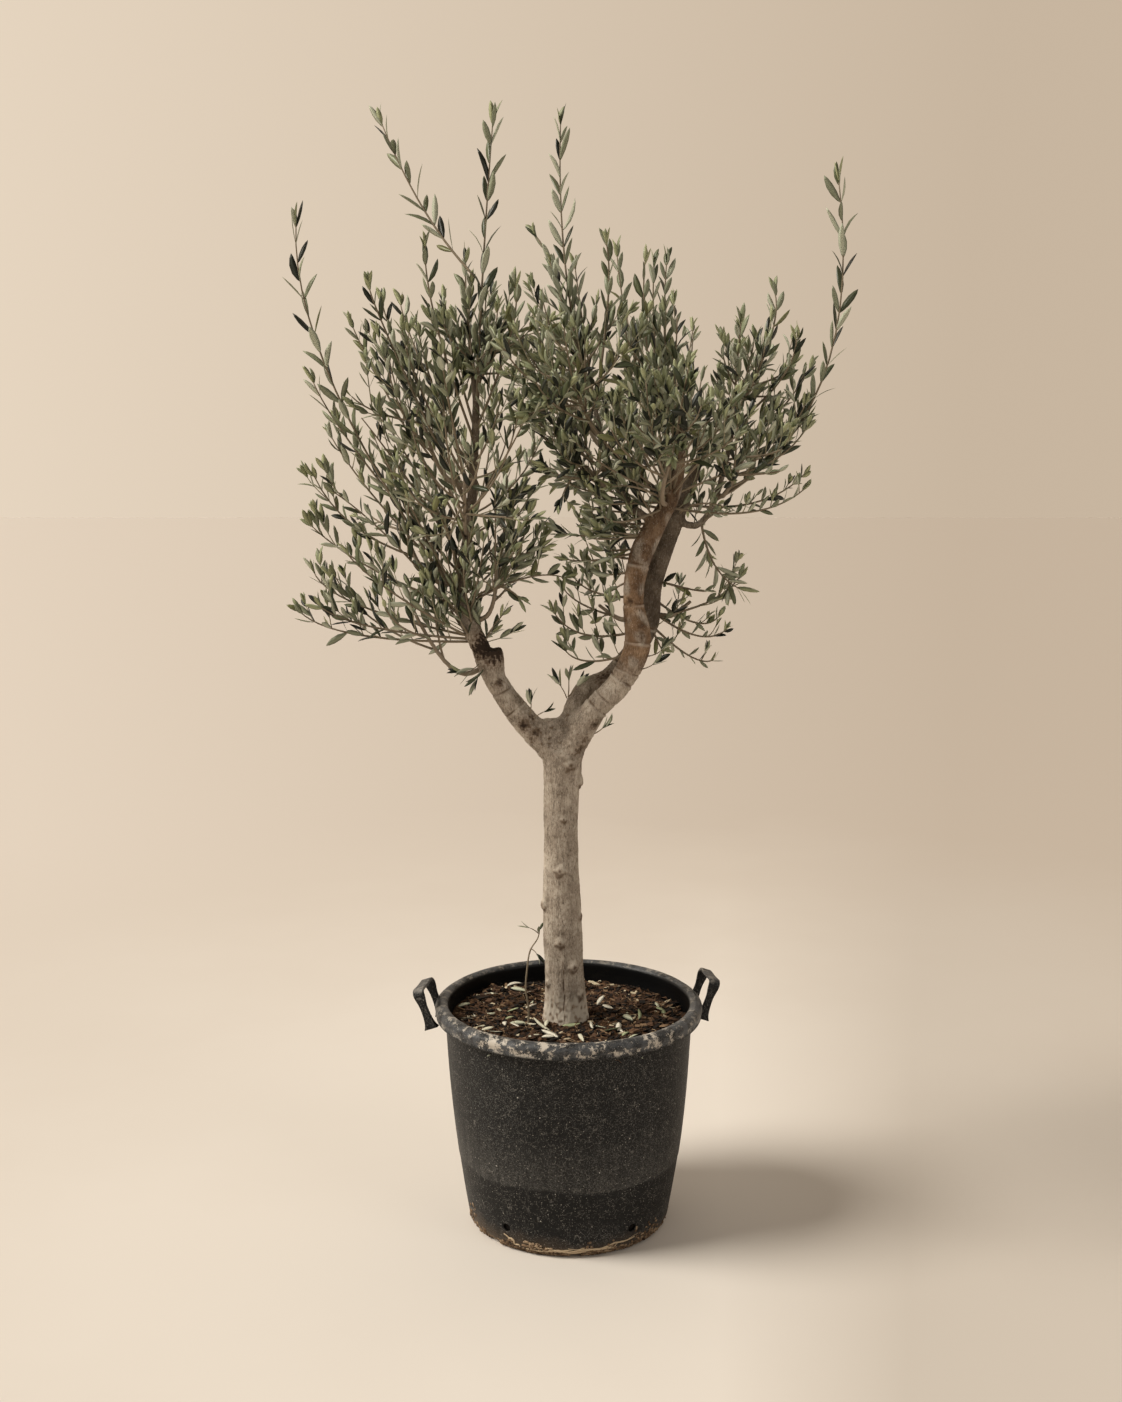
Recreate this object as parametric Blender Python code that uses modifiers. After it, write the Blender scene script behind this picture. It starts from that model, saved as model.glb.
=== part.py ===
"""Potted olive tree: a young standard olive with a forked head, in a nursery tub.

Metres, +Z up. The origin is the centre of the tub's flat underside, and -Y is the front.
The tub, its two strap handles, the compost, the trunk, each bough and each mass of foliage
are separate solids, and neighbours stay GAP clear of each other.
"""

import math

import bmesh
import bpy
import numpy as np
from mathutils import Matrix, Vector
from mathutils.bvhtree import BVHTree

COLLECTION = "potted_olive_tree"
GAP = 0.0003

# Tub: a tapered wall with a slight belly, a rolled rim and drain holes low in its wall.
TUB_HEIGHT = 0.427
TUB_STEPS = 40
RIM_OUTER = 0.250
RIM_INNER = 0.2245
RIM_DEPTH = 0.029
RIM_ROUND = 0.011
RIM_LIP = 0.006
WALL_TOP = 0.230
WALL_BASE = 0.187
WALL_BELLY = 0.008
WALL_THICK = 0.004
BASE_ROUND = 0.022
FLOOR_THICK = 0.006
DRAIN_COUNT = 5
DRAIN_RADIUS = 0.008
DRAIN_FIRST = math.radians(-54)
DRAIN_HEIGHT = 0.045

# Handles: a bent strap on each side, its legs leaning out past the rim.
HANDLE_TURNS = {"handle_left": math.radians(181), "handle_right": math.radians(11)}
HANDLE_WIDTH = 0.020
HANDLE_THICK = 0.006
HANDLE_SPAN = 0.082
HANDLE_TOP = 0.458
HANDLE_FOOT = 0.381
HANDLE_FOOT_RADIUS = 0.2475
HANDLE_LEAN = math.radians(20)
HANDLE_CORNER = 0.014

# Compost: filled to a little under the rim, with a low rise round the trunk.
SOIL_LEVEL = 0.386
SOIL_RISE = 0.004
SOIL_RADII = (0.060, 0.135)

# Limbs: joints of (x, y, z, radius). A smooth line runs through them, and the limb is cut
# into nodes at the joints that LIMB_NODES names.
TRUNK = (
    (-0.007, 0.000, SOIL_LEVEL + SOIL_RISE + GAP, 0.0430),
    (-0.008, 0.000, 0.450, 0.0385),
    (-0.014, 0.000, 0.640, 0.0340),
    (-0.015, 0.000, 0.790, 0.0315),
    (-0.011, 0.000, 0.905, 0.0375),
)
LEFT = (
    (-0.012, 0.000, 0.885, 0.0290),
    (-0.079, -0.004, 0.955, 0.0235),
    (-0.128, -0.008, 1.022, 0.0200),
    (-0.158, -0.012, 1.088, 0.0185),
    (-0.196, -0.010, 1.190, 0.0125),
    (-0.178, -0.004, 1.320, 0.0090),
    (-0.166, 0.000, 1.500, 0.0068),
)
RIGHT = (
    (-0.008, -0.004, 0.885, 0.0290),
    (0.041, -0.019, 0.977, 0.0208),
    (0.088, -0.028, 1.036, 0.0200),
    (0.120, -0.032, 1.105, 0.0212),
    (0.113, -0.032, 1.181, 0.0196),
    (0.129, -0.032, 1.273, 0.0173),
    (0.181, -0.030, 1.367, 0.0125),
)
MIDDLE = (
    (-0.006, 0.006, 0.895, 0.0280),
    (0.038, 0.026, 1.000, 0.0200),
    (0.078, 0.036, 1.036, 0.0185),
    (0.145, 0.046, 1.125, 0.0172),
    (0.159, 0.048, 1.217, 0.0155),
    (0.208, 0.050, 1.358, 0.0118),
)
LIMB_NODES = (
    ("bough_left_lower", LEFT, 1, 3),
    ("bough_left_upper", LEFT, 3, 6),
    ("bough_right_lower", RIGHT, 1, 3),
    ("bough_right_upper", RIGHT, 3, 6),
    ("bough_middle_lower", MIDDLE, 1, 3),
    ("bough_middle_upper", MIDDLE, 3, 5),
)
PRUNED_STUB = (
    (-0.131, -0.010, 1.045, 0.0140),
    (-0.125, -0.014, 1.086, 0.0120),
)
SPAN_STEPS = 3
CUT_RUN = 0.004
LIMB_ROUND = 3
ROOT_RAYS = ((0, 0), (1, 0), (-1, 0), (0, 1), (0, -1), (0, 0.5), (0, -0.5))

# Side boughs: name, the limb that carries them, how far along it, tip and radius at each end.
SIDE_BOUGHS = (
    ("bough_crown_centre", "bough_right_upper", 0.80, (0.045, -0.015, 1.520), 0.0085, 0.0060),
    ("bough_crown_right", "bough_middle_upper", 0.86, (0.295, 0.030, 1.500), 0.0085, 0.0060),
)
SIDE_ROUND = 2
SIDE_STEPS = 6
SIDE_RUN = 0.014

# Masses of foliage: name, carrier, share along it (1 is its tip), centre, half sizes, shoots.
MASSES = (
    ("foliage_left_lower", "bough_left_lower", 0.80, (-0.36, -0.03, 1.19), (0.15, 0.15, 0.10), 7),
    ("foliage_left_middle", "bough_left_upper", 0.30, (-0.36, 0.02, 1.38), (0.13, 0.16, 0.11), 7),
    ("foliage_left_upper", "bough_left_upper", 0.72, (-0.31, -0.02, 1.60), (0.12, 0.15, 0.14), 6),
    ("foliage_left_top", "bough_left_upper", 1.00, (-0.16, 0.00, 1.70), (0.11, 0.14, 0.15), 5),
    ("foliage_left_inner", "bough_left_upper", 0.12, (-0.11, -0.03, 1.29), (0.07, 0.13, 0.15), 5),
    ("foliage_left_front", "bough_left_upper", 0.52, (-0.21, -0.26, 1.44), (0.16, 0.15, 0.19), 5),
    ("foliage_left_back", "bough_left_upper", 0.42, (-0.20, 0.27, 1.42), (0.17, 0.15, 0.21), 5),
    ("foliage_centre_top", "bough_crown_centre", 1.00, (0.01, 0.00, 1.72), (0.09, 0.15, 0.14), 6),
    ("foliage_centre_lower", "bough_crown_centre", 0.42, (0.03, -0.05, 1.42), (0.09, 0.14, 0.09), 6),
    ("foliage_centre_back", "bough_crown_centre", 0.72, (0.00, 0.26, 1.60), (0.14, 0.14, 0.15), 6),
    ("foliage_centre_front", "bough_crown_centre", 0.80, (-0.01, -0.26, 1.63), (0.13, 0.13, 0.14), 7),
    ("foliage_centre_hanging", "bough_right_upper", 0.16, (0.03, 0.06, 1.17), (0.08, 0.11, 0.08), 5),
    ("foliage_right_top", "bough_right_upper", 1.00, (0.16, 0.00, 1.68), (0.10, 0.15, 0.14), 7),
    ("foliage_right_front", "bough_right_upper", 0.93, (0.18, -0.26, 1.54), (0.16, 0.15, 0.14), 6),
    ("foliage_right_back", "bough_middle_upper", 0.90, (0.17, 0.28, 1.48), (0.17, 0.15, 0.19), 4),
    ("foliage_right_side", "bough_crown_right", 1.00, (0.33, 0.00, 1.62), (0.11, 0.15, 0.11), 5),
    ("foliage_right_middle", "bough_crown_right", 0.45, (0.34, -0.05, 1.42), (0.12, 0.15, 0.08), 7),
    ("foliage_right_lower", "bough_middle_upper", 0.12, (0.25, 0.03, 1.18), (0.10, 0.13, 0.10), 7),
)

# The shoots that draw the outline: the mass that each grows from, and its furthest leaf tip.
LEADERS = (
    ("foliage_left_lower", (-0.509, -0.040, 1.172)),
    ("foliage_left_lower", (-0.470, 0.020, 1.265)),
    ("foliage_left_middle", (-0.490, 0.010, 1.350)),
    ("foliage_left_upper", (-0.486, -0.020, 1.867)),
    ("foliage_left_top", (-0.336, 0.000, 2.034)),
    ("foliage_left_top", (-0.134, 0.020, 2.038)),
    ("foliage_centre_top", (-0.013, 0.000, 2.034)),
    ("foliage_centre_top", (0.066, 0.030, 1.830)),
    ("foliage_right_top", (0.172, -0.010, 1.800)),
    ("foliage_right_side", (0.465, 0.000, 1.938)),
    ("foliage_right_side", (0.355, -0.020, 1.745)),
    ("foliage_right_middle", (0.446, -0.040, 1.430)),
    ("foliage_right_lower", (0.339, 0.030, 1.180)),
    ("foliage_right_lower", (0.309, -0.010, 1.126)),
    ("foliage_centre_hanging", (-0.042, 0.040, 1.170)),
    ("foliage_left_front", (-0.230, -0.400, 1.640)),
    ("foliage_left_back", (-0.240, 0.410, 1.640)),
    ("foliage_right_front", (0.200, -0.405, 1.700)),
    ("foliage_right_back", (0.220, 0.420, 1.680)),
)

# Twigs and leaves. The leaves are larger than life, each standing for a few.
STEM_RADIUS = 0.0052
STEM_TIP = 0.0034
SHOOT_RADIUS = 0.0027
TWIG_RADIUS = 0.0020
TWIG_TIP = 0.0014
STEM_STEPS = 3
SHOOT_STEPS = 1
LEADER_STEPS = 2
SHOOT_LEAST = 5
STEM_REACH = 0.72
SHOOT_SHORT = 0.088
LEAF_LENGTH = 0.110
LEAF_WIDTH = 0.040
LEAF_THICK = 0.0040
LEAF_BROAD = 0.34
LEAF_APART = 0.027
LEAF_PITCH = 0.058
LEAF_ANGLE = math.radians(40)
LEADER_ANGLE = math.radians(22)
LEAF_FIRST = 0.30
TIP_SINK = 0.008
TWIG_SHARE = 0.5
TWIG_LENGTH = 0.45
TWIG_EVERY = 4
OVERHANG = 0.060
OUTWARD_FIRST = 0.75
UPWARD_FIRST = 0.30
CELL_WEIGHT = 0.6
CELL_MARGIN = 0.002
SHOOT_INSET = 0.012
LIMB_MARGIN = 0.003
SEED = 11

# A sucker stands in the compost beside the trunk.
SUCKER = (
    (-0.078, -0.034, 0.392, 0.0026),
    (-0.082, -0.034, 0.470, 0.0022),
    (-0.070, -0.036, 0.520, 0.0018),
    (-0.056, -0.038, 0.550, 0.0014),
)
SUCKER_LEAF = 0.030
SUCKER_LEAVES = ((0.55, -1.0), (0.75, 1.0), (0.90, -1.0))

MATERIALS = {
    "pot_plastic": ((0.030, 0.031, 0.034), 0.62),
    "compost": ((0.070, 0.040, 0.024), 0.95),
    "bark": ((0.270, 0.215, 0.165), 0.85),
    "foliage": ((0.130, 0.165, 0.080), 0.60),
}


def clear_scene():
    """Remove the objects of the scene the script runs in."""
    for item in list(bpy.context.scene.objects):
        bpy.data.objects.remove(item, do_unlink=True)


def new_collection(name):
    """A collection linked to the scene."""
    group = bpy.data.collections.new(name)
    bpy.context.scene.collection.children.link(group)
    return group


def new_material(name, colour, roughness):
    """A Principled material of one colour and roughness."""
    material = bpy.data.materials.new(name)
    material.use_nodes = True
    shader = material.node_tree.nodes["Principled BSDF"]
    shader.inputs["Base Color"].default_value = (*colour, 1.0)
    shader.inputs["Roughness"].default_value = roughness
    material.diffuse_color = (*colour, 1.0)
    return material


def add_object(name, data, group, material=None):
    """An object of this data in a collection."""
    item = bpy.data.objects.new(name, data)
    group.objects.link(item)
    if material is not None:
        data.materials.append(material)
    return item


def arc(centre_r, centre_z, radius, start, end, steps=2):
    """Points on a quarter round of a profile, from one angle to the other in degrees."""
    angles = np.radians(np.linspace(start, end, steps + 1))
    return [(centre_r + radius * math.cos(a), centre_z + radius * math.sin(a)) for a in angles]


def turned(name, profile, group, material=None):
    """A solid turned about +Z: the profile is (radius, height), down its outer side."""
    mesh = bpy.data.meshes.new(name)
    points = [(radius, 0.0, height) for radius, height in profile]
    mesh.from_pydata(points, [(i, i + 1) for i in range(len(points) - 1)], [])
    item = add_object(name, mesh, group, material)
    screw = item.modifiers.new("turn", "SCREW")
    screw.axis = "Z"
    screw.angle = math.tau
    screw.steps = TUB_STEPS
    screw.render_steps = TUB_STEPS
    screw.use_merge_vertices = True
    screw.merge_threshold = 0.00005
    screw.use_smooth_shade = False
    return item


def wall_radius(height):
    """Outer radius of the tub's wall: a straight taper with a sine belly over its height."""
    share = height / (TUB_HEIGHT - RIM_DEPTH)
    return WALL_BASE + (WALL_TOP - WALL_BASE) * share + WALL_BELLY * math.sin(math.pi * share)


def wall_line(inset, low, high, steps=3):
    """Points up the wall between two heights, this far inside its outer face."""
    return [(wall_radius(z) - inset, z) for z in np.linspace(low, high, steps + 1)]


def make_tub(group, cutters, material):
    """The tub: floor, wall, rolled rim and the drain holes."""
    under = TUB_HEIGHT - RIM_DEPTH
    corner = wall_radius(BASE_ROUND) - BASE_ROUND
    inner_round = BASE_ROUND - WALL_THICK
    profile = [(0.0, FLOOR_THICK)]
    profile += arc(corner, FLOOR_THICK + inner_round, inner_round, -90, 0)[:-1]
    profile += wall_line(WALL_THICK, FLOOR_THICK + inner_round, under)
    profile += arc(RIM_INNER + RIM_ROUND, TUB_HEIGHT - RIM_ROUND, RIM_ROUND, 180, 90)
    profile += arc(RIM_OUTER - RIM_ROUND, TUB_HEIGHT - RIM_ROUND, RIM_ROUND, 90, 0)
    profile += arc(RIM_OUTER - RIM_LIP, under + RIM_LIP, RIM_LIP, 0, -90, 2)
    profile += wall_line(0.0, BASE_ROUND, under - GAP)[::-1]
    profile += arc(corner, BASE_ROUND, BASE_ROUND, 0, -90)[1:]
    profile += [(0.0, 0.0)]
    tub = turned("pot", profile, group, material)
    for i in range(DRAIN_COUNT):
        angle = DRAIN_FIRST + math.tau * i / DRAIN_COUNT
        bpy.ops.mesh.primitive_cylinder_add(vertices=12, radius=DRAIN_RADIUS, depth=4 * WALL_THICK)
        drill = bpy.context.object
        drill.name = f"drain_{i}"
        for owner in list(drill.users_collection):
            owner.objects.unlink(drill)
        cutters.objects.link(drill)
        reach = wall_radius(DRAIN_HEIGHT)
        drill.location = (reach * math.cos(angle), reach * math.sin(angle), DRAIN_HEIGHT)
        outwards = Vector((math.cos(angle), math.sin(angle), 0.0))
        drill.rotation_euler = outwards.to_track_quat("Z", "Y").to_euler()
        hide_cutter(drill)
        cut = tub.modifiers.new(drill.name, "BOOLEAN")
        cut.operation = "DIFFERENCE"
        cut.solver = "EXACT"
        cut.object = drill
    return tub


def hide_cutter(item):
    """Mark an object as a cutter."""
    item.hide_render = True
    item.display_type = "WIRE"


def make_handles(group, cutters, material):
    """Two strap handles: an arch outline, extruded to the strap's width and leaned outwards."""
    rise = (HANDLE_TOP - HANDLE_FOOT) / math.cos(HANDLE_LEAN)
    half = HANDLE_SPAN / 2
    outer = arch(half, rise, HANDLE_CORNER)
    inner = arch(half - HANDLE_THICK, rise - HANDLE_THICK, HANDLE_CORNER - HANDLE_THICK)
    outline = outer + inner[::-1]
    clearance = turned("rim_clearance", [
        (0.0, TUB_HEIGHT + GAP),
        (RIM_OUTER + GAP, TUB_HEIGHT + GAP),
        (RIM_OUTER + GAP, TUB_HEIGHT - RIM_DEPTH - GAP),
        (wall_radius(TUB_HEIGHT - RIM_DEPTH) + GAP, TUB_HEIGHT - RIM_DEPTH - GAP),
        (wall_radius(HANDLE_FOOT - CUT_RUN) + GAP, HANDLE_FOOT - CUT_RUN),
        (0.0, HANDLE_FOOT - CUT_RUN),
    ], cutters)
    hide_cutter(clearance)
    for name, turn in HANDLE_TURNS.items():
        curve = bpy.data.curves.new(name, "CURVE")
        curve.dimensions = "2D"
        curve.fill_mode = "BOTH"
        curve.extrude = HANDLE_WIDTH / 2
        spline = curve.splines.new("POLY")
        spline.points.add(len(outline) - 1)
        spline.use_cyclic_u = True
        for point, (across, up) in zip(spline.points, outline):
            point.co = (across, up, 0.0, 1.0)
        shape = bpy.data.objects.new(name, curve)
        out = Vector((math.cos(turn), math.sin(turn), 0.0))
        side = Vector((-math.sin(turn), math.cos(turn), 0.0))
        leaning = out * math.sin(HANDLE_LEAN) + Vector((0, 0, math.cos(HANDLE_LEAN)))
        frame = Matrix((side, leaning, side.cross(leaning))).transposed().to_4x4()
        frame.translation = out * HANDLE_FOOT_RADIUS + Vector((0, 0, HANDLE_FOOT))
        shape.matrix_world = frame
        handle = curve_to_mesh(shape, group, material)
        cut = handle.modifiers.new("rim", "BOOLEAN")
        cut.operation = "DIFFERENCE"
        cut.solver = "EXACT"
        cut.object = clearance


def arch(half, rise, corner):
    """Half-width, rise and corner radius of one side of the strap, as a line from foot to foot."""
    right = arc(half - corner, rise - corner, corner, 0, 90, 4)
    left = arc(corner - half, rise - corner, corner, 90, 180, 4)
    return [(half, 0.0)] + right + left + [(-half, 0.0)]


def curve_to_mesh(shape, group, material):
    """The mesh of a curve object with its caps welded, as a new object in its place."""
    bpy.context.scene.collection.objects.link(shape)
    bpy.context.view_layer.update()
    depsgraph = bpy.context.evaluated_depsgraph_get()
    mesh = bpy.data.meshes.new_from_object(shape.evaluated_get(depsgraph))
    work = bmesh.new()
    work.from_mesh(mesh)
    bmesh.ops.remove_doubles(work, verts=work.verts, dist=1e-6)
    bmesh.ops.recalc_face_normals(work, faces=work.faces)
    work.to_mesh(mesh)
    work.free()
    name = shape.name
    place = shape.matrix_world.copy()
    curve = shape.data
    bpy.data.objects.remove(shape, do_unlink=True)
    bpy.data.curves.remove(curve)
    item = add_object(name, mesh, group)
    item.data.materials.clear()
    item.data.materials.append(material)
    item.matrix_world = place
    return item


def make_soil(group, material):
    """The compost: fills the tub GAP clear of it, and rises a little round the trunk."""
    corner = wall_radius(BASE_ROUND) - BASE_ROUND
    inner_round = BASE_ROUND - WALL_THICK
    inset = WALL_THICK + GAP
    profile = [(0.0, soil_height(0.0))]
    profile += [(radius, soil_height(radius)) for radius in SOIL_RADII]
    profile += wall_line(inset, FLOOR_THICK + inner_round, SOIL_LEVEL)[::-1]
    profile += arc(corner, FLOOR_THICK + inner_round, inner_round - GAP, 0, -90)[1:]
    profile += [(0.0, FLOOR_THICK + GAP)]
    return turned("compost", profile, group, material)


def smooth(joints, steps=SPAN_STEPS):
    """Catmull-Rom line through the joints, radius included: each span a cubic whose slope at
    a joint is half the chord between that joint's neighbours."""
    joints = np.array(joints, float)
    padded = np.vstack([2 * joints[0] - joints[1], joints, 2 * joints[-1] - joints[-2]])
    rows = []
    for i in range(1, len(padded) - 2):
        a, b, c, d = padded[i - 1 : i + 3]
        for t in np.arange(steps) / steps:
            rows.append(0.5 * (2 * b + (c - a) * t + (2 * a - 5 * b + 4 * c - d) * t**2
                               + (3 * b - a - 3 * c + d) * t**3))
    rows.append(joints[-1])
    return np.array(rows)


def level_foot(rows):
    """The rows with a short upright run at the foot, so its cut is level."""
    return np.insert(rows, 1, rows[0] + (0.0, 0.0, CUT_RUN, 0.0), axis=0)


def soil_height(radius):
    """Height of the compost's top at this distance from the tub's axis."""
    return float(np.interp(radius, SOIL_RADII, (SOIL_LEVEL + SOIL_RISE, SOIL_LEVEL)))


def slope(joints, index):
    """Unit direction of the smooth line at a joint."""
    joints = np.array(joints, float)[:, :3]
    low, high = max(index - 1, 0), min(index + 1, len(joints) - 1)
    return unit(joints[high] - joints[low])


def unit(vector):
    """The vector at length 1."""
    return vector / np.linalg.norm(vector)


def limb_piece(joints, first, last):
    """The part of a limb between two joints, its cut ends square to the limb and GAP/2 back."""
    rows = smooth(joints)[first * SPAN_STEPS : last * SPAN_STEPS + 1]
    if first > 0:
        rows = np.vstack([cut_rows(joints, first, 1.0), rows[1:]])
    if last < len(joints) - 1:
        rows = np.vstack([rows[:-1], cut_rows(joints, last, -1.0)[::-1]])
    return rows


def cut_rows(joints, index, way):
    """Two rows that leave a cut at a joint squarely, forwards (1) or backwards (-1)."""
    start = np.array(joints[index], float)
    steps = np.zeros((2, 4))
    steps[:, :3] = np.outer((GAP / 2, CUT_RUN), slope(joints, index) * way)
    return start + steps


def limb(name, rows, group, material=None, rounding=LIMB_ROUND):
    """A round limb along rows of (x, y, z, radius), as a closed mesh."""
    curve = bpy.data.curves.new(name, "CURVE")
    curve.dimensions = "3D"
    curve.bevel_depth = 1.0
    curve.bevel_resolution = rounding
    curve.use_fill_caps = True
    spline = curve.splines.new("POLY")
    spline.points.add(len(rows) - 1)
    for point, row in zip(spline.points, rows):
        point.co = (row[0], row[1], row[2], 1.0)
        point.radius = row[3]
    return curve_to_mesh(bpy.data.objects.new(name, curve), group, material)


def union(item, parts):
    """Fuse the objects of a collection into an object, keep its largest body, and remove them.
    The second solver steps in where the first one leaves the mesh open."""
    join = item.modifiers.new("fuse", "BOOLEAN")
    join.operation = "UNION"
    join.operand_type = "COLLECTION"
    join.collection = parts
    for solver in ("MANIFOLD", "EXACT"):
        join.solver = solver
        bpy.context.view_layer.update()
        depsgraph = bpy.context.evaluated_depsgraph_get()
        mesh = bpy.data.meshes.new_from_object(item.evaluated_get(depsgraph))
        if keep_largest(mesh):
            break
    item.modifiers.clear()
    item.data = mesh
    for part in list(parts.objects):
        bpy.data.objects.remove(part, do_unlink=True)
    bpy.data.collections.remove(parts)


def keep_largest(mesh):
    """Drop every loose scrap and every sealed hollow's skin: only the largest body stays.
    True if what stays is closed."""
    work = bmesh.new()
    work.from_mesh(mesh)
    unseen = set(work.verts)
    bodies = []
    while unseen:
        queue = [unseen.pop()]
        body = list(queue)
        while queue:
            for edge in queue.pop().link_edges:
                for vert in edge.verts:
                    if vert in unseen:
                        unseen.remove(vert)
                        queue.append(vert)
                        body.append(vert)
        bodies.append(body)
    bodies.sort(key=len)
    for body in bodies[:-1]:
        bmesh.ops.delete(work, geom=body, context="VERTS")
    closed = all(edge.is_manifold for edge in work.edges)
    work.to_mesh(mesh)
    work.free()
    return closed


def skin(item):
    """The faces of a limb, to measure against."""
    mesh = item.data
    return BVHTree.FromPolygons([v.co for v in mesh.vertices], [p.vertices for p in mesh.polygons])


def side_root(rows, faces, share, toward, radius):
    """Where a shoot of this radius leaves a limb's side, or its tip at share 1: the point and
    its direction. At the side its end stands GAP off the highest of the faces under it."""
    lengths = np.linalg.norm(np.diff(rows[:, :3], axis=0), axis=1)
    along = np.concatenate([[0.0], np.cumsum(lengths)])
    at = share * along[-1]
    row = np.array([np.interp(at, along, rows[:, k]) for k in range(4)])
    k = min(np.searchsorted(along, at, side="right"), len(rows) - 1)
    axis = unit(rows[k, :3] - rows[k - 1, :3])
    if share >= 1.0:
        return row[:3] + axis * GAP, axis
    away = np.array(toward) - row[:3]
    away = unit(away - axis * away.dot(axis))
    other = np.cross(axis, away)
    above = 2 * row[3]
    drops = []
    for x, y in ROOT_RAYS:
        spot = row[:3] + away * above + (axis * x + other * y) * radius
        hit, _, _, drop = faces.ray_cast(Vector(spot), Vector(-away))
        drops.append(above if hit is None else drop)
    return row[:3] + away * (above - min(drops) + GAP), away


def bend(start, guide, end, steps):
    """Quadratic Bezier from start to end, pulled towards the guide."""
    t = np.linspace(0.0, 1.0, steps + 1)[:, None]
    return (1 - t) ** 2 * start + 2 * t * (1 - t) * guide + t**2 * end


def side_limb(rows, faces, share, tip, radii, steps=SIDE_STEPS, run=SIDE_RUN):
    """Rows of a limb that leaves another squarely and bends to its tip, tapering evenly."""
    start, away = side_root(rows, faces, share, tip, radii[0])
    tip = np.array(tip)
    line = bend(start + away * run, start + away * 0.35 * np.linalg.norm(tip - start), tip, steps)
    line = np.vstack([start, line])
    return np.column_stack([line, np.linspace(radii[0], radii[1], len(line))])


def dense(rows, pitch=0.005):
    """The same rows at a close, even pitch, to measure distances from."""
    out = []
    for a, b in zip(rows[:-1], rows[1:]):
        count = max(1, int(np.linalg.norm(b[:3] - a[:3]) / pitch))
        out += [a + (b - a) * k / count for k in range(count)]
    out.append(rows[-1])
    return np.array(out)


def twig_mesh(name, rows):
    """A three-sided twig along rows of (x, y, z, radius), with flat ends."""
    count = len(rows)
    ways = np.gradient(rows[:, :3], axis=0)
    ways /= np.linalg.norm(ways, axis=1)[:, None]
    side = np.cross(ways[0], (0.3, 0.2, 1.0) if abs(ways[0][2]) < 0.9 else (1.0, 0.2, 0.3))
    points = []
    for row, way in zip(rows, ways):
        side = unit(side - way * side.dot(way))
        other = np.cross(way, side)
        for k in range(3):
            angle = math.tau * k / 3
            points.append(row[:3] + row[3] * (math.cos(angle) * side + math.sin(angle) * other))
    faces = [(2, 1, 0), tuple(3 * (count - 1) + k for k in range(3))]
    for i in range(count - 1):
        for k in range(3):
            a, b = 3 * i + k, 3 * i + (k + 1) % 3
            faces.append((a, b, b + 3, a + 3))
    mesh = bpy.data.meshes.new(name)
    mesh.from_pydata([tuple(p) for p in points], [], faces)
    return mesh


def leaf_mesh():
    """One leaf of 8 faces, 1 long on +Z: a flat eight-faced solid, broadest nearer its root."""
    work = bmesh.new()
    bmesh.ops.create_uvsphere(work, u_segments=4, v_segments=2, radius=0.5)
    for vert in work.verts:
        vert.co.z = LEAF_BROAD if abs(vert.co.z) < 0.1 else vert.co.z + 0.5
    mesh = bpy.data.meshes.new("leaf")
    work.to_mesh(mesh)
    work.free()
    return mesh


def leaf_place(root, way, face, length):
    """Matrix of a leaf that points along way, with its flat side towards face."""
    across = unit(np.cross(way, face))
    flat = np.cross(way, across)
    columns = np.array([across * LEAF_WIDTH * length / LEAF_LENGTH, flat * LEAF_THICK, way * length])
    place = Matrix(columns.T.tolist()).to_4x4()
    place.translation = Vector(root)
    return place


def cell_margin(points, index):
    """How far inside its own space each point lies. Spaces are split by the flat faces where
    the squared distances to two centres, less their weights, are equal."""
    centres = np.array([mass[3] for mass in MASSES])
    weights = CELL_WEIGHT * np.array([np.mean(mass[4]) for mass in MASSES]) ** 2
    powers = ((points[:, None, :] - centres[None]) ** 2).sum(axis=2) - weights
    spans = np.linalg.norm(centres - centres[index], axis=1)
    spans[index] = 1.0
    margins = (powers - powers[:, [index]]) / (2 * spans)
    margins[:, index] = np.inf
    return margins.min(axis=1)


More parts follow.
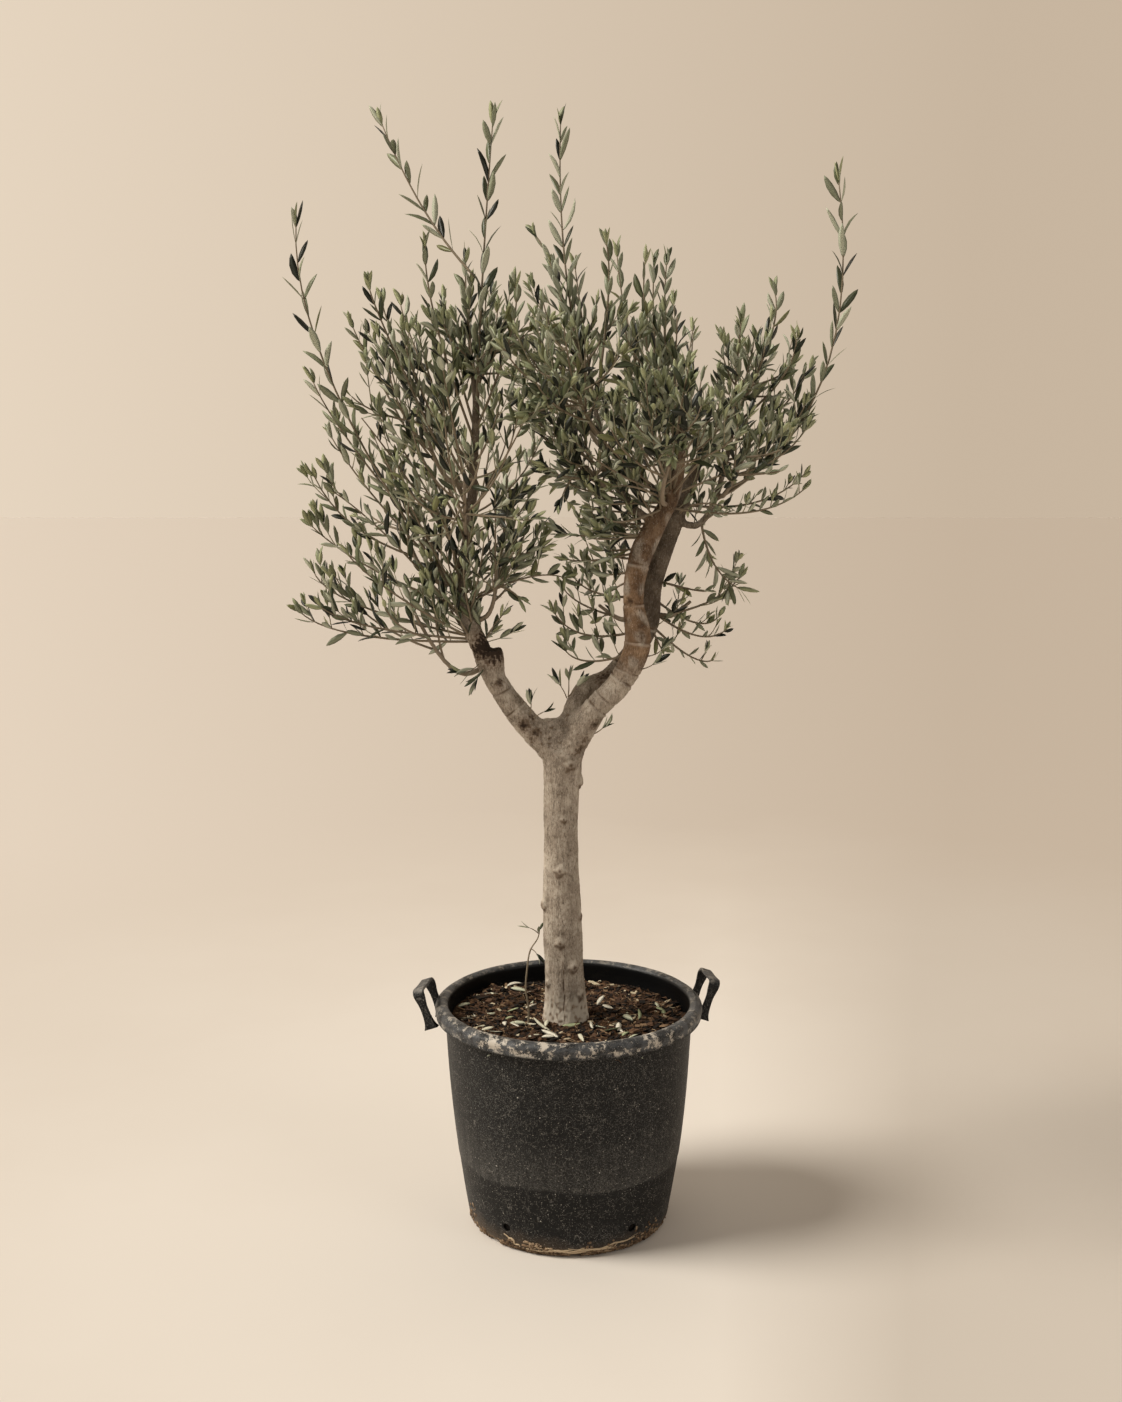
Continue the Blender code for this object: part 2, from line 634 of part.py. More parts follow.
class Mass:
    """Grows one mass: a stem, shoots out to near the edge of its space, side twigs, leaves."""

    def __init__(self, index, stem, guard, leaf):
        self.index = index
        self.name, _, _, centre, half, self.shoots = MASSES[index]
        self.centre, self.edge = np.array(centre), np.array(half) + OVERHANG
        self.stem, self.guard, self.leaf = stem, guard, leaf
        self.random = np.random.default_rng(SEED + index)
        self.parts = new_collection(self.name + "_parts")
        self.middles = []
        self.leading = False

    def free(self, points, size):
        """True where the points keep to this space and clear of limbs and other stems."""
        if cell_margin(points, self.index).min() < size + CELL_MARGIN:
            return False
        if not self.leading and (((points - self.centre) / self.edge) ** 2).sum(axis=1).max() > 1.0:
            return False
        gaps = np.linalg.norm(points[:, None, :] - self.guard[None, :, :3], axis=2)
        return (gaps - self.guard[None, :, 3]).min() > size + LIMB_MARGIN

    def add_leaf(self, root, way, face):
        """One leaf rooted in a twig, unless it would leave the space or crowd another leaf."""
        middle = root + way * LEAF_LENGTH / 2
        if any(np.linalg.norm(middle - other) < LEAF_APART for other in self.middles):
            return
        shares = np.linspace(0.0, 1.0, 11)
        reach = np.interp(shares, (0.0, LEAF_BROAD, 1.0), (0.0, LEAF_WIDTH / 2, 0.0))
        line = root + np.outer(shares, way) * LEAF_LENGTH
        across = np.outer(reach, unit(np.cross(way, face)))
        blade = np.vstack([line + across * side for side in (-1.0, -0.5, 0.0, 0.5, 1.0)])
        if self.free(blade, LEAF_THICK / 2):
            self.middles.append(middle)
            item = add_object(self.name + "_leaf", self.leaf, self.parts)
            item.matrix_world = leaf_place(root, way, face, LEAF_LENGTH)

    def add_twig(self, line, radius, tip=TWIG_TIP):
        """A twig as far along the line as it keeps to the space, or None if that is short."""
        fine = dense(np.column_stack([line, np.zeros(len(line))]), 0.008)[:, :3]
        count = 0
        while count < len(fine) and self.free(fine[count : count + 1], radius):
            count += 1
        kept = fine[:count]
        if count < SHOOT_LEAST:
            return None
        picks = np.linspace(0, count - 1, len(line)).round().astype(int)
        kept = kept[picks]
        radii = np.linspace(radius, tip, len(kept))
        add_object(self.name + "_twig", twig_mesh("twig", np.column_stack([kept, radii])), self.parts)
        return kept

    def dress(self, line, first=LEAF_FIRST):
        """Leaves along a twig in opposite pairs, each pair turned across the last, and one at
        its tip."""
        lengths = np.linalg.norm(np.diff(line, axis=0), axis=1)
        along = np.concatenate([[0.0], np.cumsum(lengths)])
        turn = self.random.uniform(0, math.pi)
        end_way = unit(line[-1] - line[-2])
        lift = unit(np.cross(end_way, (0.4, 0.6, 0.1)))
        self.add_leaf(line[-1] - end_way * TIP_SINK, end_way, lift)
        at = along[-1] - LEAF_PITCH * 0.5
        while at > first * along[-1]:
            spot = np.array([np.interp(at, along, line[:, k]) for k in range(3)])
            k = min(np.searchsorted(along, at, side="right"), len(line) - 1)
            way = unit(line[k] - line[k - 1])
            side = unit(np.cross(way, (0.2, 0.1, 1.0) if abs(way[2]) < 0.9 else (1.0, 0.1, 0.2)))
            side = side * math.cos(turn) + np.cross(way, side) * math.sin(turn)
            for sign in (1.0, -1.0):
                out = side * sign
                angle = (LEADER_ANGLE if self.leading else LEAF_ANGLE) * self.random.uniform(0.8, 1.2)
                leaf_way = way * math.cos(angle) + out * math.sin(angle)
                self.add_leaf(spot, leaf_way, unit(way * math.sin(angle) - out * math.cos(angle)))
            turn += math.pi / 2
            at -= LEAF_PITCH

    def shoot(self, start, end, steps, forked):
        """A shoot that leaves outwards and turns up, with one side twig if it is forked."""
        way = end - start
        guide = start + way * (OUTWARD_FIRST, OUTWARD_FIRST, UPWARD_FIRST)
        line = self.add_twig(bend(start, guide, end, steps), SHOOT_RADIUS)
        if line is None:
            return
        self.dress(line)
        if not forked:
            return
        k = len(line) // 2
        joint = line[k - 1] + (line[k] - line[k - 1]) * TWIG_SHARE
        along = unit(line[k] - line[k - 1])
        out = unit(np.cross(along, self.random.normal(size=3)))
        reach = TWIG_LENGTH * np.linalg.norm(way)
        twig = self.add_twig(np.array([joint, joint + (along + out) * 0.7 * reach]), TWIG_RADIUS)
        if twig is not None:
            self.dress(twig, 0.6)

    def grow(self, group, material):
        """Stem, leading shoots, then shoots spread evenly over the space, and all fused."""
        stem = add_object(self.name, twig_mesh(self.name, self.stem), group, material)
        inside = cell_margin(self.stem[:, :3], self.index) > SHOOT_INSET
        own = self.stem[inside & (np.arange(len(self.stem)) > 1)]
        self.leading = True
        for owner, tip in LEADERS:
            if owner == self.name:
                start = own[-1, :3]
                way = unit(np.array(tip) - start)
                self.shoot(start, np.array(tip) - way * (LEAF_LENGTH - TIP_SINK), LEADER_STEPS, False)
        self.leading = False
        golden = math.pi * (3 - math.sqrt(5))
        turn = self.random.uniform(0, math.tau)
        for i in range(self.shoots):
            up = 1 - 2 * (i + 0.5) / self.shoots
            flat = math.sqrt(1 - up**2)
            spot = np.array([math.cos(turn + golden * i) * flat, math.sin(turn + golden * i) * flat, up])
            end = self.centre + (self.edge - SHOOT_SHORT) * spot * self.random.uniform(0.85, 1.0)
            start = own[i % len(own), :3]
            self.shoot(start, end, SHOOT_STEPS, i % TWIG_EVERY == 0)
        union(stem, self.parts)


def make_masses(paths, group, material):
    """Every mass of foliage, each on its own stem."""
    leaf = leaf_mesh()
    stems = []
    for name, carrier, share, centre, _, _ in MASSES:
        rows, faces = paths[carrier]
        start, _ = side_root(rows, faces, share, centre, STEM_RADIUS)
        hub = start + (np.array(centre) - start) * STEM_REACH
        stems.append(side_limb(rows, faces, share, hub, (STEM_RADIUS, STEM_TIP), STEM_STEPS))
    limbs = [dense(rows) for rows, _ in paths.values()]
    for index, stem in enumerate(stems):
        others = [dense(other) for k, other in enumerate(stems) if k != index]
        Mass(index, stem, np.vstack(limbs + others), leaf).grow(group, material)
    bpy.data.meshes.remove(leaf)


def make_sucker(group, bark):
    """The thin sucker in the compost with a few small leaves."""
    rows = smooth(SUCKER, 2)
    rows[0, 2] = soil_height(math.hypot(rows[0, 0] + rows[0, 3], rows[0, 1])) + 2 * GAP
    rows = level_foot(rows)
    parts = new_collection("sucker_parts")
    sucker = add_object("basal_shoot", twig_mesh("basal_shoot", rows), group, bark)
    leaf = leaf_mesh()
    for share, side in SUCKER_LEAVES:
        k = round(share * (len(rows) - 1))
        way = unit(np.array([0.7 * side, -0.2, 0.8]))
        item = add_object("sucker_leaf", leaf, parts)
        foot = rows[k, :3] - way * 0.001
        item.matrix_world = leaf_place(foot, way, np.array([0.0, -1.0, 0.1]), SUCKER_LEAF)
    union(sucker, parts)
    bpy.data.meshes.remove(leaf)


def main():
    """Build the whole plant."""
    clear_scene()
    group = new_collection(COLLECTION)
    cutters = new_collection("cutters")
    looks = {name: new_material(name, *values) for name, values in MATERIALS.items()}

    make_tub(group, cutters, looks["pot_plastic"])
    make_handles(group, cutters, looks["pot_plastic"])
    make_soil(group, looks["compost"])

    trunk = limb("trunk", level_foot(smooth(TRUNK)), group, looks["bark"])
    forks = new_collection("fork_parts")
    for joints in (LEFT, RIGHT, MIDDLE):
        limb("fork", limb_piece(joints, 0, 1), forks, looks["bark"])
    union(trunk, forks)

    paths = {}
    for name, joints, first, last in LIMB_NODES:
        rows = limb_piece(joints, first, last)
        item = limb(name, rows, group, looks["bark"])
        if name == "bough_left_lower":
            stubs = new_collection("stub_parts")
            limb("stub", np.array(PRUNED_STUB), stubs, looks["bark"])
            union(item, stubs)
        paths[name] = rows, skin(item)
    for name, carrier, share, tip, thick, thin in SIDE_BOUGHS:
        rows = side_limb(*paths[carrier], share, tip, (thick, thin))
        paths[name] = rows, skin(limb(name, rows, group, looks["bark"], SIDE_ROUND))
    make_masses(paths, group, looks["foliage"])
    make_sucker(group, looks["foliage"])


main()
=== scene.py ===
# %% [markdown]
# # A potted olive tree
# A young olive, cut back hard when it was dug up and grown on in a black nursery tub. The pieces
# are the tub and its two strap handles, the compost with what has fallen on it, one skin of bark
# for the trunk and its boughs, and a crown of twigs and leaves. A fixed frame gives the sizes:
# the solids of the part, in metres, with Z up and the tub's foot at the origin. Each new piece is
# worked out with numpy as a surface, and then stands in for the plain solid in its place.

# %% Open the frame
import math

import bpy
import numpy as np
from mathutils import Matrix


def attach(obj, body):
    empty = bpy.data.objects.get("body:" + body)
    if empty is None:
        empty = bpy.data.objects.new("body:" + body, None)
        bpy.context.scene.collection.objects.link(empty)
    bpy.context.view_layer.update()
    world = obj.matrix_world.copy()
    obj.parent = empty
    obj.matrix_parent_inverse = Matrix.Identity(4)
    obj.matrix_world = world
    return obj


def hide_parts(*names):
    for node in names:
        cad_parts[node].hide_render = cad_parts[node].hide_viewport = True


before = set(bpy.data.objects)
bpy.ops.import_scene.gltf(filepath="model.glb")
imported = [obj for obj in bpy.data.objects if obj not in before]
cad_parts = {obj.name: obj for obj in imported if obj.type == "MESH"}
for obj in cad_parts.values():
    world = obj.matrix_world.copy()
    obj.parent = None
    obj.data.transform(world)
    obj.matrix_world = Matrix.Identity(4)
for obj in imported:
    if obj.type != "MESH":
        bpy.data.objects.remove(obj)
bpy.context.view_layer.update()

# %% [markdown]
# ## Camera
# The camera stands 3.2 m in front of the tub at a standing eye's height and looks down by about
# ten degrees, so the rim shows as an open ellipse. A long lens keeps the upright lines straight.
# Colours go to the screen by the plain standard curve, with no film look laid over them.

# %% Camera
CAMERA_PLACE = (-0.015, -3.2, 1.537)
CAMERA_TILT = math.radians(80.34)
CAMERA_LENS = 45.76

scene = bpy.context.scene
scene.view_settings.view_transform = "Standard"
camera = bpy.data.objects.new("camera", bpy.data.cameras.new("camera"))
camera.location = CAMERA_PLACE
camera.rotation_euler = (CAMERA_TILT, 0.0, 0.0)
camera.data.lens = CAMERA_LENS
scene.collection.objects.link(camera)
scene.camera = camera

# %% [markdown]
# ## Small tools for surfaces
# Nearly every piece here is a set of rings or a grid, so a few helpers carry the whole file. One
# makes smooth noise out of plane waves, which works on any cloud of points at once. One sweeps a
# ring of points along a line. One gathers many little surfaces, and the last turns arrays into a
# mesh that sits at the origin with its place in its points.

# %% Noise and directions
def unit(vectors):
    """Each vector divided by its own length."""
    return vectors / np.linalg.norm(vectors, axis=-1, keepdims=True)


def ripple(points, wave, seed, waves=28):
    """Smooth noise with a spread of 1: the sum of cos(k.p + phase) over random wave directions k,
    each with a wavelength near `wave`, which is one number or one for each axis."""
    draw = np.random.default_rng(seed)
    points = np.asarray(points, float)
    axes = points.shape[1]
    k = unit(draw.normal(size=(waves, axes))) * draw.uniform(0.6, 1.5, (waves, 1))
    k = k * math.tau / np.broadcast_to(wave, axes)
    phase = draw.uniform(0.0, math.tau, waves)
    return np.cos(points @ k.T + phase).sum(axis=1) * math.sqrt(2.0 / waves)


def fade(value, low, high):
    """0 below low and 1 above high, with the smooth step 3t^2 - 2t^3 between them."""
    t = np.clip((value - low) / (high - low), 0.0, 1.0)
    return t * t * (3.0 - 2.0 * t)


print("noise check:", round(float(ripple(np.random.default_rng(1).uniform(size=(999, 3)), 0.1, 2).std()), 2))


# %% Rings, tubes and the mesh maker
def ring_faces(rows, columns):
    """Quads of a grid of rings, the last column joined to the first: (i, j), (i, j+1),
    (i+1, j+1), (i+1, j). They face outwards where j turns to the left round the way of i."""
    i, j = np.meshgrid(np.arange(rows - 1), np.arange(columns), indexing="ij")
    k = (j + 1) % columns
    quads = np.stack([i * columns + j, i * columns + k, (i + 1) * columns + k, (i + 1) * columns + j])
    return quads.reshape(4, -1).T


def close_rings(rings, first, last):
    """Points and faces of a closed skin: rings (rows x columns x 3), and a point at each end
    joined to its ring by a fan of triangles."""
    rows, columns = rings.shape[:2]
    points = np.vstack([rings.reshape(-1, 3), [first, last]])
    j = np.arange(columns)
    k = (j + 1) % columns
    low = np.column_stack([np.full(columns, rows * columns), k, j])
    end = (rows - 1) * columns
    high = np.column_stack([np.full(columns, rows * columns + 1), end + j, end + k])
    return points, ring_faces(rows, columns), np.vstack([low, high])


def tube(line, radii, sides):
    """A round tube: ring i is line_i + r_i (cos a u_i + sin a v_i), where u and v are square to
    the line's slope and to one fixed guide, so the rings don't twist."""
    line = np.asarray(line, float)
    slope = unit(np.gradient(line, axis=0))
    chord = np.abs(unit(line[-1] - line[0]))
    guide = np.eye(3)[int(np.argmin(chord))]
    u = unit(np.cross(slope, guide))
    v = np.cross(slope, u)
    a = np.arange(sides) * math.tau / sides
    spokes = np.cos(a)[None, :, None] * u[:, None] + np.sin(a)[None, :, None] * v[:, None]
    rings = line[:, None] + np.asarray(radii, float)[:, None, None] * spokes
    return close_rings(rings, line[0], line[-1])


class Heap:
    """Gathers many small surfaces into one: points, quads, triangles, and a number per face."""

    def __init__(self):
        self.points, self.quads, self.tris = [], [], []
        self.quad_kinds, self.tri_kinds = [], []
        self.count = 0

    def add(self, points, quads, tris=(), kind=0):
        """Adds a surface. kind is one number for all its faces."""
        self.points.append(points)
        for faces, store, kinds in ((quads, self.quads, self.quad_kinds), (tris, self.tris, self.tri_kinds)):
            if len(faces):
                store.append(np.asarray(faces) + self.count)
                kinds.append(np.full(len(faces), kind))
        self.count += len(points)

    def make(self, name, materials, smooth=True):
        """The gathered surfaces as one object."""
        faces = [np.vstack(f) for f in (self.quads, self.tris) if f]
        kinds = np.concatenate(self.quad_kinds + self.tri_kinds)
        return make_piece(name, np.vstack(self.points), faces, materials, kinds, smooth)


def make_piece(name, points, faces, materials, kinds=None, smooth=True):
    """A mesh object at the origin from points (n x 3) and a list of face arrays, each with one
    number of corners. kinds gives each face its material."""
    mesh = bpy.data.meshes.new(name)
    corners = np.concatenate([np.full(len(f), f.shape[1]) for f in faces])
    loops = np.concatenate([f.ravel() for f in faces])
    mesh.vertices.add(len(points))
    mesh.vertices.foreach_set("co", np.asarray(points, np.float32).ravel())
    mesh.loops.add(len(loops))
    mesh.loops.foreach_set("vertex_index", loops.astype(np.int32))
    mesh.polygons.add(len(corners))
    mesh.polygons.foreach_set("loop_start", (np.cumsum(corners) - corners).astype(np.int32))
    mesh.update(calc_edges=True)
    for material in materials:
        mesh.materials.append(material)
    if kinds is not None:
        mesh.polygons.foreach_set("material_index", np.asarray(kinds, np.int32))
    mesh.polygons.foreach_set("use_smooth", np.full(len(corners), smooth))
    mesh.validate()
    mesh.update()
    piece = bpy.data.objects.new(name, mesh)
    scene.collection.objects.link(piece)
    print(f"{name}: {len(points)} points, {int((corners - 2).sum())} triangles")
    return piece


def settle(piece, slot, *nodes):
    """The piece rides on the one body and stands for these solids. slot is not used."""
    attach(piece, "root")
    if nodes:
        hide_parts(*nodes)
    return piece


# %% [markdown]
# ## Tools for finishes
# A finish is a small tree of shader nodes. The helper below adds a node and fills its sockets by
# name: a number is set on the socket itself, and another node's output is linked. Three effects
# turn up on more than one thing here, so each is a group that is built once: pale specks that
# stick to plastic and bark, the cloudy film of dust that dries on anything outdoors, and a fine
# grain for bumps. Their values are named, so the tub and the bark can each ask for their own.

# %% Node helpers
def add_node(tree, kind, sockets=None, **settings):
    """A node with its settings made and its sockets filled, by name or by number."""
    item = tree.nodes.new("ShaderNode" + kind)
    for name, value in settings.items():
        setattr(item, name, value)
    for name, value in (sockets or {}).items():
        socket = item.inputs[name]
        if isinstance(value, bpy.types.NodeSocket):
            tree.links.new(value, socket)
        elif isinstance(value, tuple) and len(value) == 3 and socket.type == "RGBA":
            socket.default_value = (*value, 1.0)
        else:
            socket.default_value = value
    return item


def noise(tree, place, scale, detail=4.0, rough=0.6):
    """Cloudy noise from 0 to 1, near 0.5 on average. scale is in clouds per metre."""
    made = add_node(tree, "TexNoise", {"Vector": place, "Scale": scale, "Detail": detail, "Roughness": rough})
    return made.outputs["Fac"]


def spread(tree, value, low, high, bottom=0.0, top=1.0):
    """Carries low..high to bottom..top in a straight line and holds it there beyond the ends."""
    made = add_node(tree, "MapRange", {"Value": value, "From Min": low, "From Max": high,
                                       "To Min": bottom, "To Max": top})
    return made.outputs["Result"]


def reckon(tree, kind, a, b=0.0):
    """a and b put together by one step of arithmetic, such as ADD or MULTIPLY."""
    return add_node(tree, "Math", {0: a, 1: b}, operation=kind).outputs[0]


def blend_colours(tree, share, a, b):
    """Colour a where share is 0 and colour b where it is 1."""
    return add_node(tree, "Mix", {0: share, 6: a, 7: b}, data_type="RGBA").outputs[2]


def ramp(tree, value, stops):
    """Colours along a scale: stops are (place from 0 to 1, colour)."""
    made = add_node(tree, "ValToRGB", {"Fac": value})
    band = made.color_ramp
    while len(band.elements) < len(stops):
        band.elements.new(0.5)
    for element, (place, colour) in zip(band.elements, stops):
        element.position = place
        element.color = (*colour, 1.0)
    return made.outputs["Color"]


def new_group(name, numbers, outputs):
    """An empty group with a place, named numbers coming in, and named outputs."""
    group = bpy.data.node_groups.new(name, "ShaderNodeTree")
    group.interface.new_socket("Place", in_out="INPUT", socket_type="NodeSocketVector")
    for label, value in numbers.items():
        socket = group.interface.new_socket(label, in_out="INPUT", socket_type="NodeSocketFloat")
        socket.default_value = value
    for label in outputs:
        group.interface.new_socket(label, in_out="OUTPUT", socket_type="NodeSocketFloat")
    return group, group.nodes.new("NodeGroupInput").outputs, group.nodes.new("NodeGroupOutput").inputs


def use_group(tree, group, sockets):
    """A group placed in a material with its own values."""
    made = tree.nodes.new("ShaderNodeGroup")
    made.node_tree = group
    for name, value in sockets.items():
        if isinstance(value, bpy.types.NodeSocket):
            tree.links.new(value, made.inputs[name])
        else:
            made.inputs[name].default_value = value
    return made.outputs


def new_material(name, roughness, colour=None, specular=0.5):
    """A material, its tree, its Principled shader and its place on the object. roughness and
    colour are plain values here, and a finish may link over them."""
    material = bpy.data.materials.new(name)
    material.use_nodes = True
    tree = material.node_tree
    shader = tree.nodes["Principled BSDF"]
    shader.inputs["Roughness"].default_value = roughness
    shader.inputs["Specular IOR Level"].default_value = specular
    if colour:
        shader.inputs["Base Color"].default_value = (*colour, 1.0)
    place = tree.nodes.new("ShaderNodeTexCoord").outputs["Object"]
    return material, tree, shader, place


def set_bump(tree, shader, height, strength, distance):
    """Feeds the shader's normal with a bump: height 0 to 1 stands for `distance` metres."""
    made = add_node(tree, "Bump", {"Height": height, "Strength": strength, "Distance": distance})
    tree.links.new(made.outputs["Normal"], shader.inputs["Normal"])


# %% Groups for specks, dust and grain
specks_group, coming, going = new_group(
    "pale_specks", {"Scale": 120.0, "Size": 0.12, "Share": 0.5}, ["Mask"])
inside = specks_group
cells = add_node(inside, "TexVoronoi", {"Vector": coming["Place"], "Scale": coming["Scale"]})
dot = reckon(inside, "LESS_THAN", cells.outputs["Distance"], coming["Size"])
lottery = add_node(inside, "SeparateColor", {"Color": cells.outputs["Color"]}).outputs["Red"]
inside.links.new(reckon(inside, "MULTIPLY", dot, reckon(inside, "LESS_THAN", lottery, coming["Share"])),
                 going["Mask"])

dust_group, coming, going = new_group(
    "dust_film", {"Scale": 9.0, "Low": 0.45, "High": 0.75}, ["Mask"])
inside = dust_group
cloud = noise(inside, coming["Place"], coming["Scale"], 8.0, 0.65)
grit = noise(inside, coming["Place"], reckon(inside, "MULTIPLY", coming["Scale"], 22.0), 3.0, 0.7)
film = reckon(inside, "ADD", reckon(inside, "MULTIPLY", grit, 0.35), reckon(inside, "MULTIPLY", cloud, 0.72))
inside.links.new(spread(inside, film, coming["Low"], coming["High"]), going["Mask"])

grain_group, coming, going = new_group("fine_grain", {"Scale": 300.0, "Coarse": 0.3}, ["Height"])
inside = grain_group
fine = noise(inside, coming["Place"], coming["Scale"], 3.0, 0.6)
wide = noise(inside, coming["Place"], reckon(inside, "MULTIPLY", coming["Scale"], coming["Coarse"]), 4.0, 0.6)
inside.links.new(reckon(inside, "MULTIPLY", reckon(inside, "ADD", fine, wide), 0.5), going["Height"])
print("groups:", [g.name for g in bpy.data.node_groups])

# %% [markdown]
# ## Light and floor
# The light is soft daylight. A wide sun high on the left gives the round forms a lit side, a
# faint lamp on the right opens their shadows, and the surround is a warm plaster tone behind the
# tree and dimmer in front, where a room would be. So the leaves stand clear against a pale
# ground, and the black tub has little to mirror. The floor is one pale sheet, lighter round the
# tub and fading to the surround's tone far off, so that no edge cuts the view. It is painted
# darker towards the right of the view, as painted shade. It is no part of the tree.

# %% Light and floor
BEHIND_LEFT, BEHIND_RIGHT, IN_FRONT = (0.790, 0.665, 0.525), (0.575, 0.465, 0.350), (0.250, 0.221, 0.186)
SUN_WAY, SUN_STRENGTH, SUN_WIDTH = (0.72, 0.12, -0.70), 3.35, math.radians(28)
SUN_COLOUR, FILL_COLOUR = (1.0, 0.94, 0.84), (1.0, 0.96, 0.90)
BEHIND_SPAN = (-0.30, 0.22)
FLOOR_SIZE, FLOOR_NEAR, FLOOR_FAR = 40.0, 0.8, 3.6
# The far floor's right tone is darker, as painted shade that matches the surround.
FLOOR_FAR_LEFT, FLOOR_FAR_RIGHT_SHADED = (0.679, 0.623, 0.570), (0.4945, 0.436, 0.380)


def add_lamp(name, kind, place, way, power, colour, **settings):
    """A lamp at a place whose beam runs along a way: it turns so that its -Z lies on the way."""
    lamp = bpy.data.objects.new(name, bpy.data.lights.new(name, kind))
    lamp.data.energy = power
    lamp.data.color = colour
    for setting, value in settings.items():
        setattr(lamp.data, setting, value)
    lamp.location = place
    lamp.rotation_euler = (math.atan2(math.hypot(way[0], way[1]), -way[2]), 0.0,
                           math.atan2(way[1], way[0]) - math.pi / 2)
    scene.collection.objects.link(lamp)


add_lamp("sun", "SUN", (-2.0, -1.2, 3.5), SUN_WAY, SUN_STRENGTH, SUN_COLOUR, angle=SUN_WIDTH)
add_lamp("fill", "AREA", (3.2, -2.6, 2.2), (-3.2, 2.6, -1.2), 30.0, FILL_COLOUR, size=2.4)
world = bpy.data.worlds.new("surround")
world.use_nodes = True
tree = world.node_tree
way = add_node(tree, "SeparateXYZ", {"Vector": tree.nodes.new("ShaderNodeTexCoord").outputs["Generated"]})
backdrop = blend_colours(tree, spread(tree, way.outputs["X"], *BEHIND_SPAN), BEHIND_LEFT, BEHIND_RIGHT)
behind = spread(tree, way.outputs["Y"], -0.10, 0.55)
tree.links.new(blend_colours(tree, behind, IN_FRONT, backdrop), tree.nodes["Background"].inputs["Color"])
scene.world = world

floor_finish, tree, shader, place = new_material("pale_floor", 1.0, specular=0.0)
away = spread(tree, add_node(tree, "VectorMath", {0: place}, operation="LENGTH").outputs["Value"],
              FLOOR_NEAR, FLOOR_FAR)
patchy = reckon(tree, "ADD", away, spread(tree, noise(tree, place, 0.9, 4.0), 0.3, 0.7, -0.10, 0.10))
outlook = add_node(tree, "VectorMath", {0: place, 1: (0.0, -CAMERA_PLACE[1], 0.0)}, operation="ADD").outputs["Vector"]
outlook = add_node(tree, "VectorMath", {0: outlook}, operation="NORMALIZE").outputs["Vector"]
outlook = add_node(tree, "SeparateXYZ", {"Vector": outlook}).outputs["X"]
# Painted shade: seen from the camera, the far floor darkens towards the right.
far_floor_shaded_right = blend_colours(tree, spread(tree, outlook, *BEHIND_SPAN), FLOOR_FAR_LEFT, FLOOR_FAR_RIGHT_SHADED)
near_floor = ramp(tree, patchy, [(0.0, (0.720, 0.676, 0.628)), (0.60, (0.650, 0.596, 0.538))])
# Painted shade: right of the middle of the view, the near floor is darker too.
near_floor = blend_colours(tree, spread(tree, outlook, 0.09, 0.20), near_floor, (0.545, 0.500, 0.452))
far_off = spread(tree, patchy, 0.15, 0.90)
tree.links.new(blend_colours(tree, far_off, near_floor, far_floor_shaded_right), shader.inputs["Base Color"])
side = FLOOR_SIZE / 2
floor_corners = np.array([(-side, -side, 0.0), (side, -side, 0.0), (side, side, 0.0), (-side, side, 0.0)])
make_piece("floor", floor_corners, [np.array([[0, 1, 2, 3]])], [floor_finish])

# %% [markdown]
# ## The tub
# A nursery tub is blow-moulded from black polyethylene: a thin wall that swells a little and
# narrows to a rounded foot, under a thick rolled rim that stiffens the mouth. It could be a
# subdivided cylinder, but a turned profile is exact and keeps its roundness, so a line of
# (radius, height) goes up the outside, over the rim and down the inside, and is turned about Z.
# Thin plastic never stays true, so the rings get a slow wobble of under a millimetre, and there
# is a low step where the mould's lower part began. The drain holes are cut by Booleans.

# %% The tub's sizes and profile
TUB_HEIGHT = 0.427
RIM_OUTER, RIM_INNER, RIM_DEPTH = 0.2495, 0.2245, 0.029
WALL_TOP, WALL_BASE, WALL_BELLY, WALL_THICK = 0.230, 0.187, 0.008, 0.004
BASE_ROUND, FLOOR_THICK = 0.022, 0.006
UNDER_RIM = TUB_HEIGHT - RIM_DEPTH
TUB_TURNS = 192
MOULD_STEP_HEIGHT, MOULD_STEP = 0.136, 0.0009
TUB_WOBBLE = 0.0006


def wall_radius(height):
    """Outer radius of the wall: a straight taper with a sine belly over its height."""
    share = np.asarray(height) / UNDER_RIM
    return WALL_BASE + (WALL_TOP - WALL_BASE) * share + WALL_BELLY * np.sin(math.pi * share)


def arc(centre, radius, start, end, steps=8):
    """Points on part of a circle in the (radius, height) plane, angles in degrees."""
    a = np.radians(np.linspace(start, end, steps + 1))
    return np.column_stack([centre[0] + radius * np.cos(a), centre[1] + radius * np.sin(a)])


def turn_profile(profile, turns, wobble=0.0, seed=0):
    """A closed skin of a profile turned about Z: (r cos a, r sin a, z), r shifted by slow noise.
    The profile starts and ends near the axis, where each end runs to a point."""
    r, z = profile[:, 0], profile[:, 1]
    a = np.arange(turns) * math.tau / turns
    rings = np.stack([np.outer(r, np.cos(a)), np.outer(r, np.sin(a)), np.outer(z, np.ones(turns))], axis=2)
    if wobble:
        flat = rings.reshape(-1, 3)
        ways = flat * (1.0, 1.0, 0.0)
        reach = np.linalg.norm(ways, axis=1, keepdims=True)
        shift = ripple(ways / reach * 0.2 + flat * (0.0, 0.0, 1.0), 0.35, seed)
        rings = (flat + ways / reach * np.minimum(reach * 8.0, 1.0) * (wobble * shift)[:, None]).reshape(rings.shape)
    return close_rings(rings, (0.0, 0.0, z[0]), (0.0, 0.0, z[-1]))


